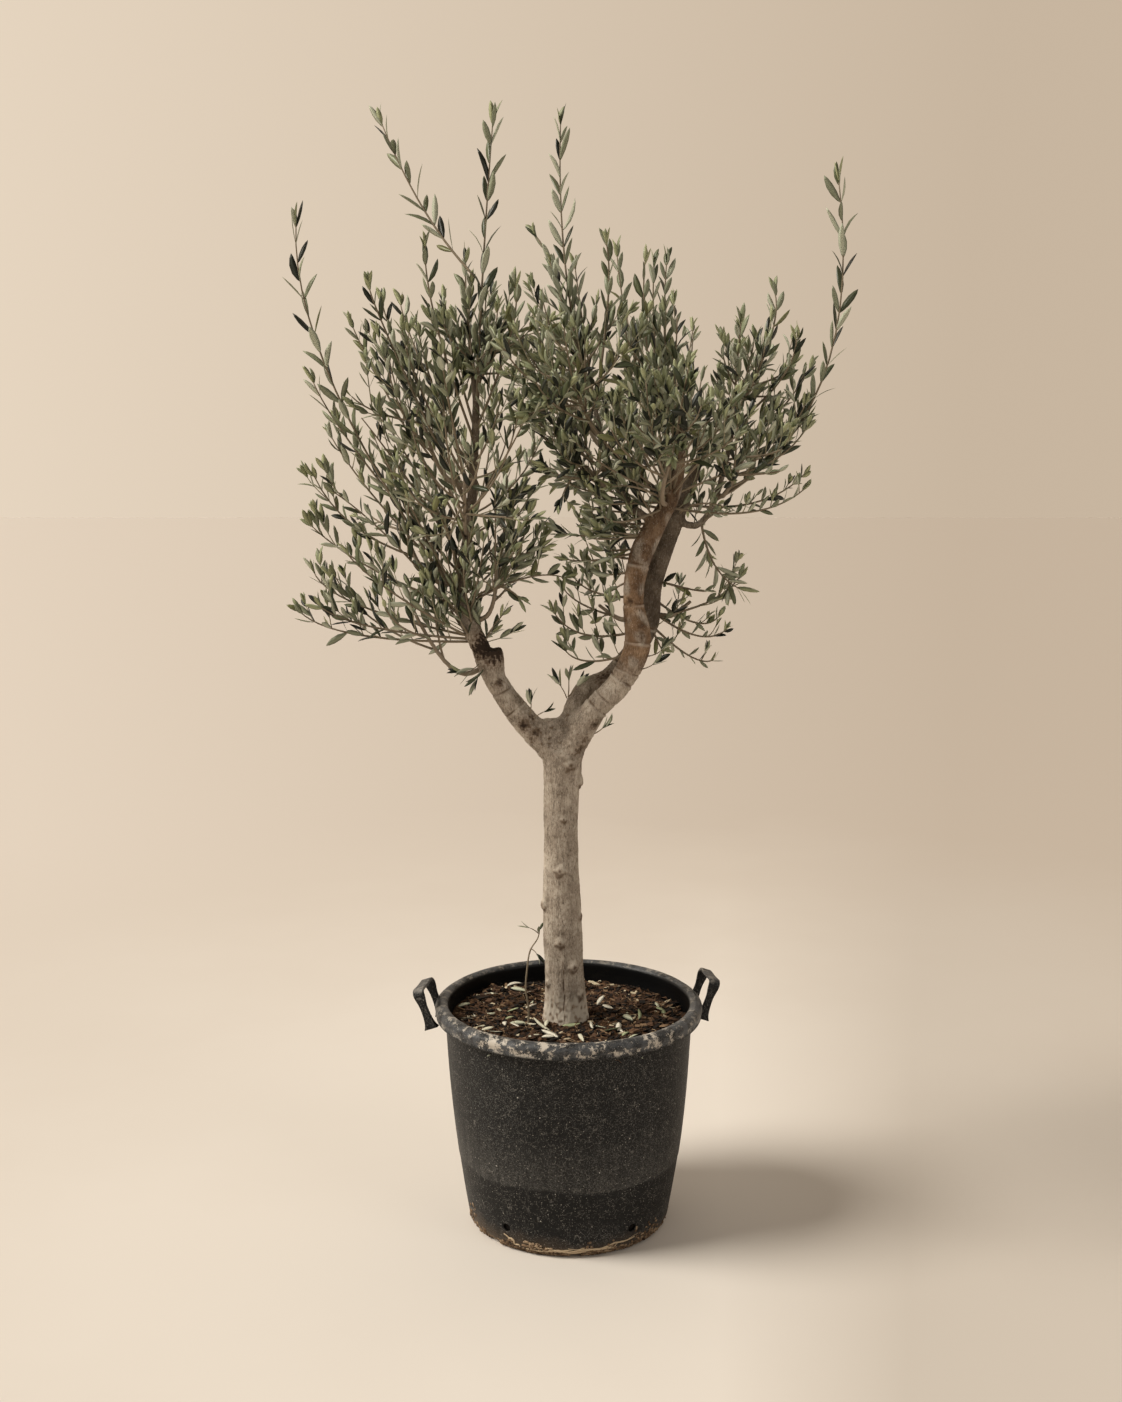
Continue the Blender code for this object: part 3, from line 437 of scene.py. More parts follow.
def tub_profile():
    """Up the outer side, over the rolled rim and down the inner side."""
    corner = float(wall_radius(BASE_ROUND)) - BASE_ROUND
    rise = np.linspace(BASE_ROUND, UNDER_RIM - 0.004, 70)
    step = MOULD_STEP * (1.0 - fade(rise, MOULD_STEP_HEIGHT - 0.006, MOULD_STEP_HEIGHT))
    outer = np.column_stack([wall_radius(rise) - step, rise])
    drop = rise[(rise > 0.030)][::-2]
    inner = np.column_stack([wall_radius(drop) - WALL_THICK, drop])
    deep = BASE_ROUND - WALL_THICK
    return np.vstack([
        [(0.020, 0.0), (0.100, 0.0)],
        arc((corner, BASE_ROUND), BASE_ROUND - 0.001, -90, -6),
        outer,
        arc((float(wall_radius(UNDER_RIM)) + 0.003, UNDER_RIM - 0.001), 0.003, 180, 90, 3),
        arc((RIM_OUTER - 0.004, UNDER_RIM + 0.002), 0.002, -90, 20, 5),
        arc((RIM_OUTER - 0.0005, UNDER_RIM + 0.0055), 0.0016, 230, 150, 4),
        arc((RIM_OUTER - 0.010, TUB_HEIGHT - 0.0125), 0.010, -38, 62, 9),
        arc((RIM_OUTER - 0.0125, TUB_HEIGHT - 0.0090), 0.0090, 75, 100, 3),
        arc((RIM_INNER + 0.0095, TUB_HEIGHT - 0.0100), 0.0095, 100, 180, 7),
        [(RIM_INNER + 0.0005, UNDER_RIM + 0.006), (RIM_INNER + 0.0005, UNDER_RIM + 0.001)],
        inner,
        arc((corner, FLOOR_THICK + deep), deep, -8, -90, 6),
        [(0.100, FLOOR_THICK), (0.020, FLOOR_THICK)],
    ])


print("profile points:", len(tub_profile()))

# %% Turn the tub and cut its drains
DRAIN_COUNT, DRAIN_RADIUS, DRAIN_HEIGHT = 5, 0.0082, 0.045
DRAIN_FIRST = math.radians(-54)


def baked(piece):
    """The piece's mesh with its modifiers carried out."""
    made = piece.evaluated_get(bpy.context.evaluated_depsgraph_get())
    return bpy.data.meshes.new_from_object(made)


def remove_piece(piece):
    """Takes an object and its mesh out of the file."""
    mesh = piece.data
    bpy.data.objects.remove(piece)
    bpy.data.meshes.remove(mesh)


points, quads, tris = turn_profile(tub_profile(), TUB_TURNS, TUB_WOBBLE, 3)
tub = make_piece("tub", points, [quads, tris], [])
drills = []
for i in range(DRAIN_COUNT):
    angle = DRAIN_FIRST + math.tau * i / DRAIN_COUNT
    out = np.array([math.cos(angle), math.sin(angle), -0.10])
    middle = np.array([math.cos(angle), math.sin(angle), 0.0]) * float(wall_radius(DRAIN_HEIGHT))
    middle[2] = DRAIN_HEIGHT
    drill = np.linspace(-0.014, 0.014, 2)[:, None] * unit(out) + middle
    points, quads, tris = tube(drill, (DRAIN_RADIUS, DRAIN_RADIUS), 20)
    drills.append(make_piece(f"drill_{i}", points, [quads, tris], [], smooth=False))
    cut = tub.modifiers.new(f"drain_{i}", "BOOLEAN")
    cut.object = drills[-1]
    cut.operation = "DIFFERENCE"
    cut.solver = "EXACT"
cut_mesh = baked(tub)
plain_mesh = tub.data
tub.modifiers.clear()
tub.data = cut_mesh
bpy.data.meshes.remove(plain_mesh)
for drill in drills:
    remove_piece(drill)
print("tub faces after the drains:", len(tub.data.polygons))

# %% [markdown]
# ## Black polyethylene that has stood outdoors
# New, such a tub is a plain satin black. After some years it is a dark grey with a film of dust,
# pale specks and drips of lime, fine scratches that run every way, and a rim rubbed grey where
# hands and hoses go over it. Mud has splashed its foot, and stays brown and quite dry there. All
# of it is worked out from the object's own coordinates, and the height decides what gathers
# where. The scratches are the thin lines where two warped noises pass through one value. Two
# places are darkened as painted shade: a band under the mould's step, and the inner wall above
# the compost, which gets none of the dust, specks, scratches, rubbing or lime.

# %% Weathered black plastic
INNER_REACH, INNER_SEEN = 0.2262, 0.378
# Scratches: scale, how far they bend, width and strength.
FINE_SCRATCHES = ((24.0, 1.4, 0.0065, 0.65), (52.0, 0.9, 0.0120, 0.60), (90.0, 0.6, 0.0200, 0.50))
# Specks: scale, size, share, strength and colour.
PALE_SPECKS = ((400.0, 0.28, 0.26, 0.65, (0.230, 0.214, 0.190)), (200.0, 0.18, 0.13, 0.80, (0.340, 0.320, 0.285)),
               (75.0, 0.090, 0.14, 0.95, (0.620, 0.590, 0.540)))


def weathered_plastic(name, rim_wear, wear_height, dirt_and_step_shade):
    """Black polyethylene. rim_wear is how grey it is rubbed above wear_height. The last argument
    sets how brown its foot is with mud, the dust film above the mould's step, and the painted shade
    below the step."""
    material, tree, shader, place = new_material(name, 0.55, specular=0.21)
    parts = add_node(tree, "SeparateXYZ", {"Vector": place}).outputs
    height = parts["Z"]
    flat = add_node(tree, "VectorMath", {0: place, 1: (1.0, 1.0, 0.0)}, operation="MULTIPLY").outputs["Vector"]
    reach = add_node(tree, "VectorMath", {0: flat}, operation="LENGTH").outputs["Value"]
    # Painted shade: the inner wall above the compost stays near black, free of the dust, grit, specks, scratches,
    # rubbing and lime that the outer side gets.
    outer_unshaded = reckon(tree, "MAXIMUM", spread(tree, reach, INNER_REACH, INNER_REACH + 0.0015),
                     spread(tree, height, INNER_SEEN, INNER_SEEN - 0.004))
    tall = add_node(tree, "Mapping", {"Vector": place, "Scale": (1.0, 1.0, 0.35)}).outputs["Vector"]
    dust = use_group(tree, dust_group, {"Place": tall, "Scale": 7.0, "Low": 0.44, "High": 0.72})["Mask"]
    dust = reckon(tree, "MULTIPLY", dust, outer_unshaded)
    colour = blend_colours(tree, dust, (0.0028, 0.0031, 0.0036), (0.0135, 0.0138, 0.0138))
    band = reckon(tree, "ADD", height, spread(tree, noise(tree, place, 6.0), 0.3, 0.7, -0.006, 0.006))
    streak = noise(tree, add_node(tree, "Mapping", {"Vector": place, "Scale": (1.0, 1.0, 0.12)}).outputs["Vector"],
                   60.0, 5.0, 0.7)
    film = reckon(tree, "MULTIPLY", spread(tree, band, MOULD_STEP_HEIGHT - 0.002, MOULD_STEP_HEIGHT + 0.003),
                  spread(tree, band, MOULD_STEP_HEIGHT, 0.240, 0.90, 0.0))
    film = reckon(tree, "MULTIPLY", film, spread(tree, streak, 0.34, 0.66, 0.20, 1.0))
    colour = blend_colours(tree, reckon(tree, "MULTIPLY", film, dirt_and_step_shade), colour, (0.0640, 0.0615, 0.0570))
    grit = noise(tree, place, 410.0, 2.0, 0.80)
    colour = blend_colours(tree, spread(tree, grit, 0.50, 0.38, 0.0, 0.75), colour, (0.0026, 0.0026, 0.0027))
    gritty = reckon(tree, "MAXIMUM", spread(tree, dust, 0.0, 0.9, 0.16, 1.0), film)
    pale_grit = reckon(tree, "MULTIPLY", spread(tree, grit, 0.545, 0.66, 0.0, 0.95), outer_unshaded)
    colour = blend_colours(tree, reckon(tree, "MULTIPLY", pale_grit, gritty), colour, (0.130, 0.129, 0.125))
    # Painted shade: a band below the mould's step, fading out towards the foot, is made darker.
    under_step_shade = reckon(tree, "MULTIPLY", spread(tree, band, MOULD_STEP_HEIGHT, MOULD_STEP_HEIGHT - 0.004, 0.0, 0.75),
                        reckon(tree, "MULTIPLY", spread(tree, height, 0.035, 0.070), dirt_and_step_shade))
    colour = blend_colours(tree, under_step_shade, colour, (0.0026, 0.0027, 0.0029))
    for scale, warp, width, strength in FINE_SCRATCHES:
        lines = add_node(tree, "TexNoise", {"Vector": place, "Scale": scale, "Detail": 1.0, "Distortion": warp})
        line = reckon(tree, "ABSOLUTE", reckon(tree, "SUBTRACT", lines.outputs["Fac"], 0.5))
        patch = spread(tree, noise(tree, place, scale * 0.8, 3.0), 0.48, 0.60)
        scratch = reckon(tree, "MULTIPLY", spread(tree, line, 0.0, width, strength, 0.0), patch)
        colour = blend_colours(tree, reckon(tree, "MULTIPLY", scratch, outer_unshaded), colour, (0.205, 0.194, 0.176))
    for scale, size, share, strength, tone in PALE_SPECKS:
        sockets = {"Place": place, "Scale": scale, "Size": size, "Share": share}
        specks = use_group(tree, specks_group, sockets)["Mask"]
        specks = reckon(tree, "MULTIPLY", reckon(tree, "MULTIPLY", specks, strength), outer_unshaded)
        colour = blend_colours(tree, specks, colour, tone)
    rubbed = reckon(tree, "MULTIPLY", spread(tree, height, wear_height, wear_height + 0.007),
                    spread(tree, noise(tree, place, 34.0, 9.0, 0.78), 0.42, 0.60, 0.12, 1.0))
    rubbed = reckon(tree, "MULTIPLY", reckon(tree, "MULTIPLY", rubbed, rim_wear), outer_unshaded)
    colour = blend_colours(tree, rubbed, colour, (0.094, 0.099, 0.107))
    lime = reckon(tree, "MULTIPLY", spread(tree, height, wear_height, wear_height + 0.006),
                  spread(tree, noise(tree, place, 40.0, 10.0, 0.80), 0.520, 0.556))
    front = spread(tree, parts["Y"], -0.05, -0.20, 0.30, 1.0)
    lime = reckon(tree, "MULTIPLY", reckon(tree, "MULTIPLY", lime, front), reckon(tree, "MULTIPLY", outer_unshaded, rim_wear))
    colour = blend_colours(tree, lime, colour, (0.600, 0.545, 0.470))
    damp = spread(tree, reckon(tree, "ADD", band, spread(tree, noise(tree, place, 16.0, 6.0, 0.7), 0.3, 0.7,
                                                        -0.014, 0.014)), 0.008, 0.042, 0.75, 0.0)
    colour = blend_colours(tree, reckon(tree, "MULTIPLY", damp, dirt_and_step_shade), colour, (0.085, 0.060, 0.040))
    splash = reckon(tree, "SUBTRACT", spread(tree, height, 0.0, 0.036, 1.0, 0.0),
                    spread(tree, noise(tree, place, 34.0, 9.0, 0.72), 0.30, 0.72))
    muddy = reckon(tree, "MULTIPLY", spread(tree, splash, 0.14, 0.40), dirt_and_step_shade)
    earth = ramp(tree, noise(tree, place, 110.0, 6.0, 0.7), [
        (0.35, (0.075, 0.048, 0.028)), (0.50, (0.190, 0.130, 0.078)), (0.66, (0.360, 0.265, 0.170))])
    colour = blend_colours(tree, muddy, colour, earth)
    tree.links.new(colour, shader.inputs["Base Color"])
    rough = reckon(tree, "ADD", spread(tree, dust, 0.0, 1.0, 0.48, 0.66), reckon(tree, "MULTIPLY", muddy, 0.25))
    rough = reckon(tree, "ADD", rough, spread(tree, height, wear_height, wear_height + 0.007, 0.0, -0.12))
    tree.links.new(rough, shader.inputs["Roughness"])
    grain = use_group(tree, grain_group, {"Place": place, "Scale": 520.0, "Coarse": 0.22})["Height"]
    relief = reckon(tree, "ADD", grain, reckon(tree, "MULTIPLY", muddy, 1.2))
    set_bump(tree, shader, relief, 0.60, 0.0011)
    return material


tub_plastic = weathered_plastic("weathered_black_tub", 0.85, UNDER_RIM + 0.001, 1.0)
tub.data.materials.append(tub_plastic)
settle(tub, "pot_plastic", "pot")

# %% [markdown]
# ## The strap handles
# Each handle is one strap of the same plastic, bent into an arch whose two legs lean outwards and
# tuck up under the rim. A beveled curve could make it, but its feet widen where they are welded
# on, and its edges are soft. So a rounded rectangle is carried along the arch: for an angle a its
# point is (sign(cos a) |cos a|^q, sign(sin a) |sin a|^q) times the half width and half thickness,
# and a small q squares it up.

# %% The strap handles
HANDLE_TURNS = {"left": math.radians(181), "right": math.radians(11)}
HANDLE_TWISTS = {"left": math.radians(-12), "right": 0.0}
HANDLE_LEAN = math.radians(20)
HANDLE_WIDTH, LEG_NARROWING, HANDLE_THICK, HANDLE_SPAN = 0.021, 0.36, 0.006, 0.082
HANDLE_TOP, HANDLE_FOOT, HANDLE_FOOT_RADIUS, HANDLE_CORNER = 0.458, 0.384, 0.2475, 0.014
STRAP_SQUARE, STRAP_SIDES = 0.28, 24


def strap_path():
    """The middle of the strap in its own plane, (across, up), foot to foot over rounded corners."""
    half = (HANDLE_SPAN - HANDLE_THICK) / 2
    rise = (HANDLE_TOP - HANDLE_FOOT) / math.cos(HANDLE_LEAN) - HANDLE_THICK / 2
    bend_radius = HANDLE_CORNER - HANDLE_THICK / 2
    leg = np.linspace(0.0, rise - bend_radius, 14)[:-1]
    right = np.column_stack([np.full(len(leg), half), leg])
    right = np.vstack([right, arc((half - bend_radius, rise - bend_radius), bend_radius, 0, 90, 8)])
    grip = np.linspace(half - bend_radius, 0.0, 8)[1:]
    right = np.vstack([right, np.column_stack([grip, np.full(len(grip), rise)])])
    return np.vstack([right, right[-2::-1] * (-1.0, 1.0)])


def strap_mesh(turn, twist):
    """A handle's rings: the strap's section set square to its path, wider and thicker at the feet.
    The grip sinks a little in the middle, as a used one does."""
    path = strap_path()
    slope = unit(np.gradient(path, axis=0))
    face = np.column_stack([slope[:, 1], -slope[:, 0]])
    foot = np.exp(-path[:, 1] / 0.011)
    sag = 0.0012 * np.exp(-(path[:, 0] / 0.022) ** 2) * fade(path[:, 1], 0.05, 0.07)
    path = path - np.column_stack([np.zeros(len(path)), sag])
    a = np.arange(STRAP_SIDES) * math.tau / STRAP_SIDES
    wide = np.sign(np.cos(a)) * np.abs(np.cos(a)) ** STRAP_SQUARE
    thick = np.sign(np.sin(a)) * np.abs(np.sin(a)) ** STRAP_SQUARE
    waist = LEG_NARROWING * (1.0 - fade(path[:, 1], 0.040, 0.068))
    half_wide = HANDLE_WIDTH / 2 * (1.0 - waist + (0.30 + LEG_NARROWING) * foot)
    half_thick = HANDLE_THICK / 2 * (1.0 + 1.30 * foot)
    out = np.array([math.cos(turn), math.sin(turn), 0.0])
    across = np.array([-math.sin(turn + twist), math.cos(turn + twist), 0.0])
    up = out * math.sin(HANDLE_LEAN) + np.array([0.0, 0.0, math.cos(HANDLE_LEAN)])
    broad = np.cross(across, up)
    middle = out * HANDLE_FOOT_RADIUS + (0.0, 0.0, HANDLE_FOOT)
    middle = middle + path[:, :1] * across + path[:, 1:] * up
    normal = face[:, :1] * across + face[:, 1:] * up
    rings = (middle[:, None] + (half_wide[:, None] * wide)[:, :, None] * broad
             + (half_thick[:, None] * thick)[:, :, None] * normal[:, None])
    return close_rings(rings, middle[0], middle[-1])


handle_plastic = weathered_plastic("rubbed_black_strap", 0.80, HANDLE_TOP - 0.008, 0.0)
for side_name, turn in HANDLE_TURNS.items():
    points, quads, tris = strap_mesh(turn, HANDLE_TWISTS[side_name])
    strap = make_piece(f"strap_{side_name}", points, [quads, tris], [handle_plastic])
    settle(strap, "pot_plastic", f"handle_{side_name}")

# %% [markdown]
# ## Compost
# The tub is filled to four centimetres under its rim with bark and coir, watered for years until
# it has settled into lumps. Up close it is thousands of chips and fibres, with pale dry olive
# leaves fallen on top. A height field gives the lumps: rings round the trunk whose height is a
# low cone plus three sizes of noise. Loose chips, fibres and leaves are then laid on it as real
# meshes, because a bump alone looks flat where the light is low.

# %% The compost's surface
SOIL_LEVEL, SOIL_RISE, SOIL_REACH = 0.386, 0.004, 0.135
SOIL_RINGS, SOIL_TURNS = 74, 190
SOIL_MOUND = (-0.120, 0.105, 0.070, 0.0150)


def soil_height(spots):
    """Height of the compost at (x, y): a low cone, one mound, and noise in three sizes."""
    away = np.linalg.norm(spots, axis=1)
    height = SOIL_LEVEL + SOIL_RISE * np.clip(1.0 - away / SOIL_REACH, 0.0, 1.0)
    x, y, wide, tall = SOIL_MOUND
    height = height + tall * np.exp(-((spots - (x, y)) ** 2).sum(axis=1) / wide ** 2)
    lumps = 0.0022 * ripple(spots, 0.050, 11) + 0.0014 * ripple(spots, 0.016, 12) + 0.0007 * ripple(spots, 0.006, 13)
    return height + lumps


def soil_mesh():
    """The height field, closed down the inside of the wall and across the floor."""
    edge = float(wall_radius(SOIL_LEVEL)) - WALL_THICK - 0.0005
    a = np.arange(SOIL_TURNS) * math.tau / SOIL_TURNS
    reach = edge * np.linspace(0.012, 1.0, SOIL_RINGS)[::-1]
    top = np.stack([np.outer(reach, np.cos(a)), np.outer(reach, np.sin(a))], axis=2)
    top = np.dstack([top, soil_height(top.reshape(-1, 2)).reshape(SOIL_RINGS, SOIL_TURNS)])
    deep = np.linspace(0.026, SOIL_LEVEL - 0.012, 12)
    radius = wall_radius(deep) - WALL_THICK - 0.0008
    radius = np.concatenate([[0.02, radius[0] - 0.014], radius])
    deep = np.concatenate([[FLOOR_THICK + 0.0005] * 2, deep])
    low = np.stack([np.outer(radius, np.cos(a)), np.outer(radius, np.sin(a)),
                    np.outer(deep, np.ones(SOIL_TURNS))], axis=2)
    rings = np.concatenate([low, top])
    summit = (0.0, 0.0, float(rings[-1, :, 2].mean()))
    return close_rings(rings, (0.0, 0.0, FLOOR_THICK + 0.0005), summit)


def compost_finish():
    """Dark brown crumbs, from near black where they are damp to red brown where they are dry.
    Deep down, where it shows through the drains, it is painted near black as shade.
    """
    material, tree, shader, place = new_material("bark_compost", 0.92, specular=0.25)
    colour = ramp(tree, noise(tree, place, 95.0, 9.0, 0.72), [
        (0.32, (0.0085, 0.0052, 0.0034)), (0.50, (0.052, 0.0270, 0.0140)), (0.68, (0.190, 0.105, 0.055))])
    specks = use_group(tree, specks_group, {"Place": place, "Scale": 240.0, "Size": 0.30, "Share": 0.16})["Mask"]
    colour = blend_colours(tree, reckon(tree, "MULTIPLY", specks, 0.7), colour, (0.260, 0.165, 0.095))
    height = add_node(tree, "SeparateXYZ", {"Vector": place}).outputs["Z"]
    # Painted shade: from 3 to 6 cm under the surface downwards, seen through the drains, the compost turns near black.
    colour = blend_colours(tree, spread(tree, height, SOIL_LEVEL - 0.030, SOIL_LEVEL - 0.060), colour, (0.006, 0.004, 0.003))
    tree.links.new(colour, shader.inputs["Base Color"])
    grain = use_group(tree, grain_group, {"Place": place, "Scale": 420.0, "Coarse": 0.25})["Height"]
    set_bump(tree, shader, grain, 1.0, 0.0045)
    return material


points, quads, tris = soil_mesh()
compost = make_piece("compost_bed", points, [quads, tris], [compost_finish()])
settle(compost, "compost", "compost")

# %% [markdown]
# ## What lies on the compost
# Chips of bark are flat splinters: a box whose corners are each pushed about at random, turned
# every way and laid a little into the surface. Coir fibres are hair-thin tubes that arch over it.
# Both are worked out for all pieces at once, as arrays of (piece, corner, axis).

# %% Chips and fibres
CHIP_COUNT, FIBRE_COUNT = 2600, 420
TRUNK_CLEAR = 0.046
BOX_CORNERS = np.array([(x, y, z) for x in (-1, 1) for y in (-1, 1) for z in (-1, 1)], float)
BOX_FACES = np.array([(0, 1, 3, 2), (4, 6, 7, 5), (0, 4, 5, 1), (2, 3, 7, 6), (0, 2, 6, 4), (1, 5, 7, 3)])


def plain_colours(prefix, colours, roughness, specular=0.3):
    """One material of a plain colour for each colour, for small things that differ piece by piece."""
    return [new_material(f"{prefix}_{i}", roughness, colour, specular)[0] for i, colour in enumerate(colours)]


def scatter(count, draw, reach=0.218):
    """Places spread evenly over the compost, clear of the trunk."""
    spots = np.empty((0, 2))
    while len(spots) < count:
        tries = draw.uniform(-reach, reach, (count * 2, 2))
        away = np.linalg.norm(tries, axis=1)
        spots = np.vstack([spots, tries[(away < reach) & (away > TRUNK_CLEAR)]])
    return spots[:count]


def turned_frames(draw, count, tip):
    """Random frames (count x 3 x 3): any turn about Z, and a tilt of up to `tip` radians."""
    turn, lean, way = draw.uniform(0, math.tau, count), draw.uniform(-tip, tip, count), draw.uniform(0, math.tau, count)
    x = np.column_stack([np.cos(turn), np.sin(turn), np.sin(lean) * np.cos(way)])
    x = unit(x)
    z = np.column_stack([-np.sin(lean) * np.cos(turn), -np.sin(lean) * np.sin(turn), np.cos(lean)])
    y = unit(np.cross(z, x))
    return np.stack([x, y, np.cross(x, y)], axis=1)


def chips():
    """Bark chips: box corners, jostled, sized, turned and laid on the compost."""
    draw = np.random.default_rng(21)
    spots = scatter(CHIP_COUNT, draw)
    size = np.column_stack([draw.lognormal(-5.25, 0.50, CHIP_COUNT), draw.lognormal(-5.95, 0.45, CHIP_COUNT),
                            draw.uniform(0.0006, 0.0018, CHIP_COUNT)])
    corners = BOX_CORNERS * (1.0 + draw.uniform(-0.45, 0.25, (CHIP_COUNT, 8, 3)))
    corners = np.einsum("nck,nkj->ncj", corners * np.minimum(size, 0.011)[:, None], turned_frames(draw, CHIP_COUNT, 0.6))
    middle = np.column_stack([spots, soil_height(spots) + 0.0012])
    points = (middle[:, None] + corners).reshape(-1, 3)
    faces = (np.arange(CHIP_COUNT)[:, None, None] * 8 + BOX_FACES).reshape(-1, 4)
    kinds = np.repeat(draw.choice(len(CHIP_COLOURS), CHIP_COUNT, p=CHIP_SHARES), 6)
    chips_piece = make_piece("bark_chips", points, [faces], plain_colours("bark_chip", CHIP_COLOURS, 0.9), kinds, False)
    settle(chips_piece, "compost")


def fibres():
    """Coir fibres: thin three-sided tubes along arcs that rise off the compost and come back."""
    draw = np.random.default_rng(22)
    heap = Heap()
    t = np.linspace(0.0, 1.0, 7)[:, None]
    for spot in scatter(FIBRE_COUNT, draw, 0.205):
        turn, length = draw.uniform(0, math.tau), draw.uniform(0.012, 0.040)
        way = np.array([math.cos(turn), math.sin(turn)])
        curl = np.array([-way[1], way[0]]) * draw.uniform(-0.35, 0.35) * length
        flat = spot + way * length * t + curl * np.sin(math.pi * t)
        rise = soil_height(flat)[:, None] + draw.uniform(0.0006, 0.0050) * np.sin(math.pi * t)
        made = tube(np.hstack([flat, rise]), np.full(7, draw.uniform(0.00025, 0.0006)), 3)
        heap.add(*made, kind=int(draw.uniform() < 0.35))
    piece = heap.make("coir_fibres", plain_colours("coir", ((0.150, 0.078, 0.038), (0.440, 0.310, 0.190)), 0.9))
    settle(piece, "compost")


CHIP_COLOURS = ((0.008, 0.0050, 0.0034), (0.044, 0.022, 0.012), (0.098, 0.052, 0.029), (0.200, 0.128, 0.074),
                (0.560, 0.480, 0.340))
CHIP_SHARES = (0.42, 0.25, 0.18, 0.10, 0.05)
chips()
fibres()

# %% [markdown]
# ## Trunk and boughs
# The trunk is one clean stem that forks at just under a metre into a left bough and two that rise
# side by side to the right, all thinning upwards. Real wood has no seam at a fork: the limbs flow
# into each other. So each limb is first a plain tube along a smooth line through named joints,
# then a voxel remesh melts the tubes into one skin, and a few rounds of averaging soften the
# folds where they meet. The lines also serve later, for the twigs have to start on the limbs.

# %% The limbs' lines
TRUNK = ((-0.007, 0.000, 0.372, 0.0450), (-0.008, 0.000, 0.400, 0.0415), (-0.008, 0.000, 0.450, 0.0385),
         (-0.014, 0.000, 0.640, 0.0340), (-0.015, 0.000, 0.790, 0.0315), (-0.011, 0.000, 0.905, 0.0375))
LEFT = ((-0.012, 0.000, 0.885, 0.0290), (-0.079, -0.004, 0.955, 0.0235), (-0.128, -0.008, 1.022, 0.0200),
        (-0.158, -0.012, 1.088, 0.0185), (-0.196, -0.010, 1.190, 0.0125), (-0.178, -0.004, 1.320, 0.0090),
        (-0.166, 0.000, 1.500, 0.0072), (-0.168, 0.000, 1.580, 0.0052))
RIGHT = ((-0.008, -0.004, 0.885, 0.0290), (0.043, -0.019, 0.976, 0.0228), (0.094, -0.028, 1.034, 0.0228),
         (0.123, -0.032, 1.103, 0.0236), (0.114, -0.032, 1.181, 0.0192), (0.129, -0.032, 1.266, 0.0205),
         (0.181, -0.030, 1.367, 0.0150), (0.196, -0.026, 1.440, 0.0095), (0.200, -0.022, 1.500, 0.0060))
MIDDLE = ((-0.008, 0.004, 0.895, 0.0290), (0.026, 0.026, 0.998, 0.0235), (0.080, 0.038, 1.034, 0.0200),
          (0.143, 0.048, 1.118, 0.0180), (0.155, 0.050, 1.210, 0.0178), (0.206, 0.050, 1.350, 0.0140),
          (0.232, 0.046, 1.420, 0.0090), (0.245, 0.042, 1.470, 0.0060))
CROTCH = ((-0.022, 0.004, 0.905, 0.0260), (-0.026, 0.008, 0.936, 0.0260), (-0.026, 0.010, 0.958, 0.0200))
PRUNED_STUB = ((-0.134, -0.010, 1.042, 0.0170), (-0.136, -0.012, 1.066, 0.0185), (-0.139, -0.014, 1.090, 0.0195))
SPAN_STEPS = 6
LIMB_PARTS = {
    "bough_left_lower": (LEFT, 1, 3), "bough_left_upper": (LEFT, 3, 6),
    "bough_right_lower": (RIGHT, 1, 3), "bough_right_upper": (RIGHT, 3, 6),
    "bough_middle_lower": (MIDDLE, 1, 3), "bough_middle_upper": (MIDDLE, 3, 5)}
SIDE_BOUGHS = (
    ("bough_crown_centre", "bough_right_upper", 0.80, (0.045, -0.015, 1.520), 0.0075, 0.0048),
    ("bough_crown_right", "bough_middle_upper", 0.86, (0.295, 0.030, 1.500), 0.0075, 0.0048))


def smooth_line(joints, steps=SPAN_STEPS):
    """Catmull-Rom line through the joints, radius included: each span is a cubic whose slope at a
    joint is half the chord between that joint's neighbours."""
    joints = np.array(joints, float)
    padded = np.vstack([2 * joints[0] - joints[1], joints, 2 * joints[-1] - joints[-2]])
    t = (np.arange(steps) / steps)[None, :, None]
    a, b, c, d = (padded[i:len(padded) - 3 + i, None] for i in range(4))
    spans = 0.5 * (2 * b + (c - a) * t + (2 * a - 5 * b + 4 * c - d) * t ** 2
                   + (3 * b - a - 3 * c + d) * t ** 3)
    return np.vstack([spans.reshape(-1, joints.shape[1]), joints[-1:]])


def bend_line(start, guide, end, steps):
    """A quadratic Bezier line: (1-t)^2 start + 2t(1-t) guide + t^2 end."""
    t = np.linspace(0.0, 1.0, steps + 1)[:, None]
    return (1 - t) ** 2 * start + 2 * t * (1 - t) * guide + t ** 2 * end


def lengths_along(line):
    """Distance from the line's start to each of its points."""
    return np.concatenate([[0.0], np.cumsum(np.linalg.norm(np.diff(line[:, :3], axis=0), axis=1))])


def at_share(rows, share):
    """The row at a share of the line's length, and the line's way there."""
    along = lengths_along(rows)
    s = share * along[-1]
    k = min(int(np.searchsorted(along, s, side="right")), len(rows) - 1)
    row = np.array([np.interp(s, along, rows[:, i]) for i in range(rows.shape[1])])
    return row, unit(rows[k, :3] - rows[k - 1, :3])


def side_line(rows, share, tip, radii, steps=8, run=0.014):
    """A limb that leaves another squarely at a share of its length and bends to a tip: a Bezier
    line whose guide lies straight out from the carrier. The first row is at the carrier's middle."""
    row, axis = at_share(rows, share)
    start, tip = row[:3], np.array(tip, float)
    away = axis
    if share < 1.0:
        away = unit((tip - start) - axis * (tip - start).dot(axis))
        start = start + away * row[3]
    line = bend_line(start + away * run, start + away * 0.35 * np.linalg.norm(tip - start), tip, steps)
    line = np.vstack([row[:3], line])
    return np.column_stack([line, np.linspace(radii[0], radii[1], len(line))])


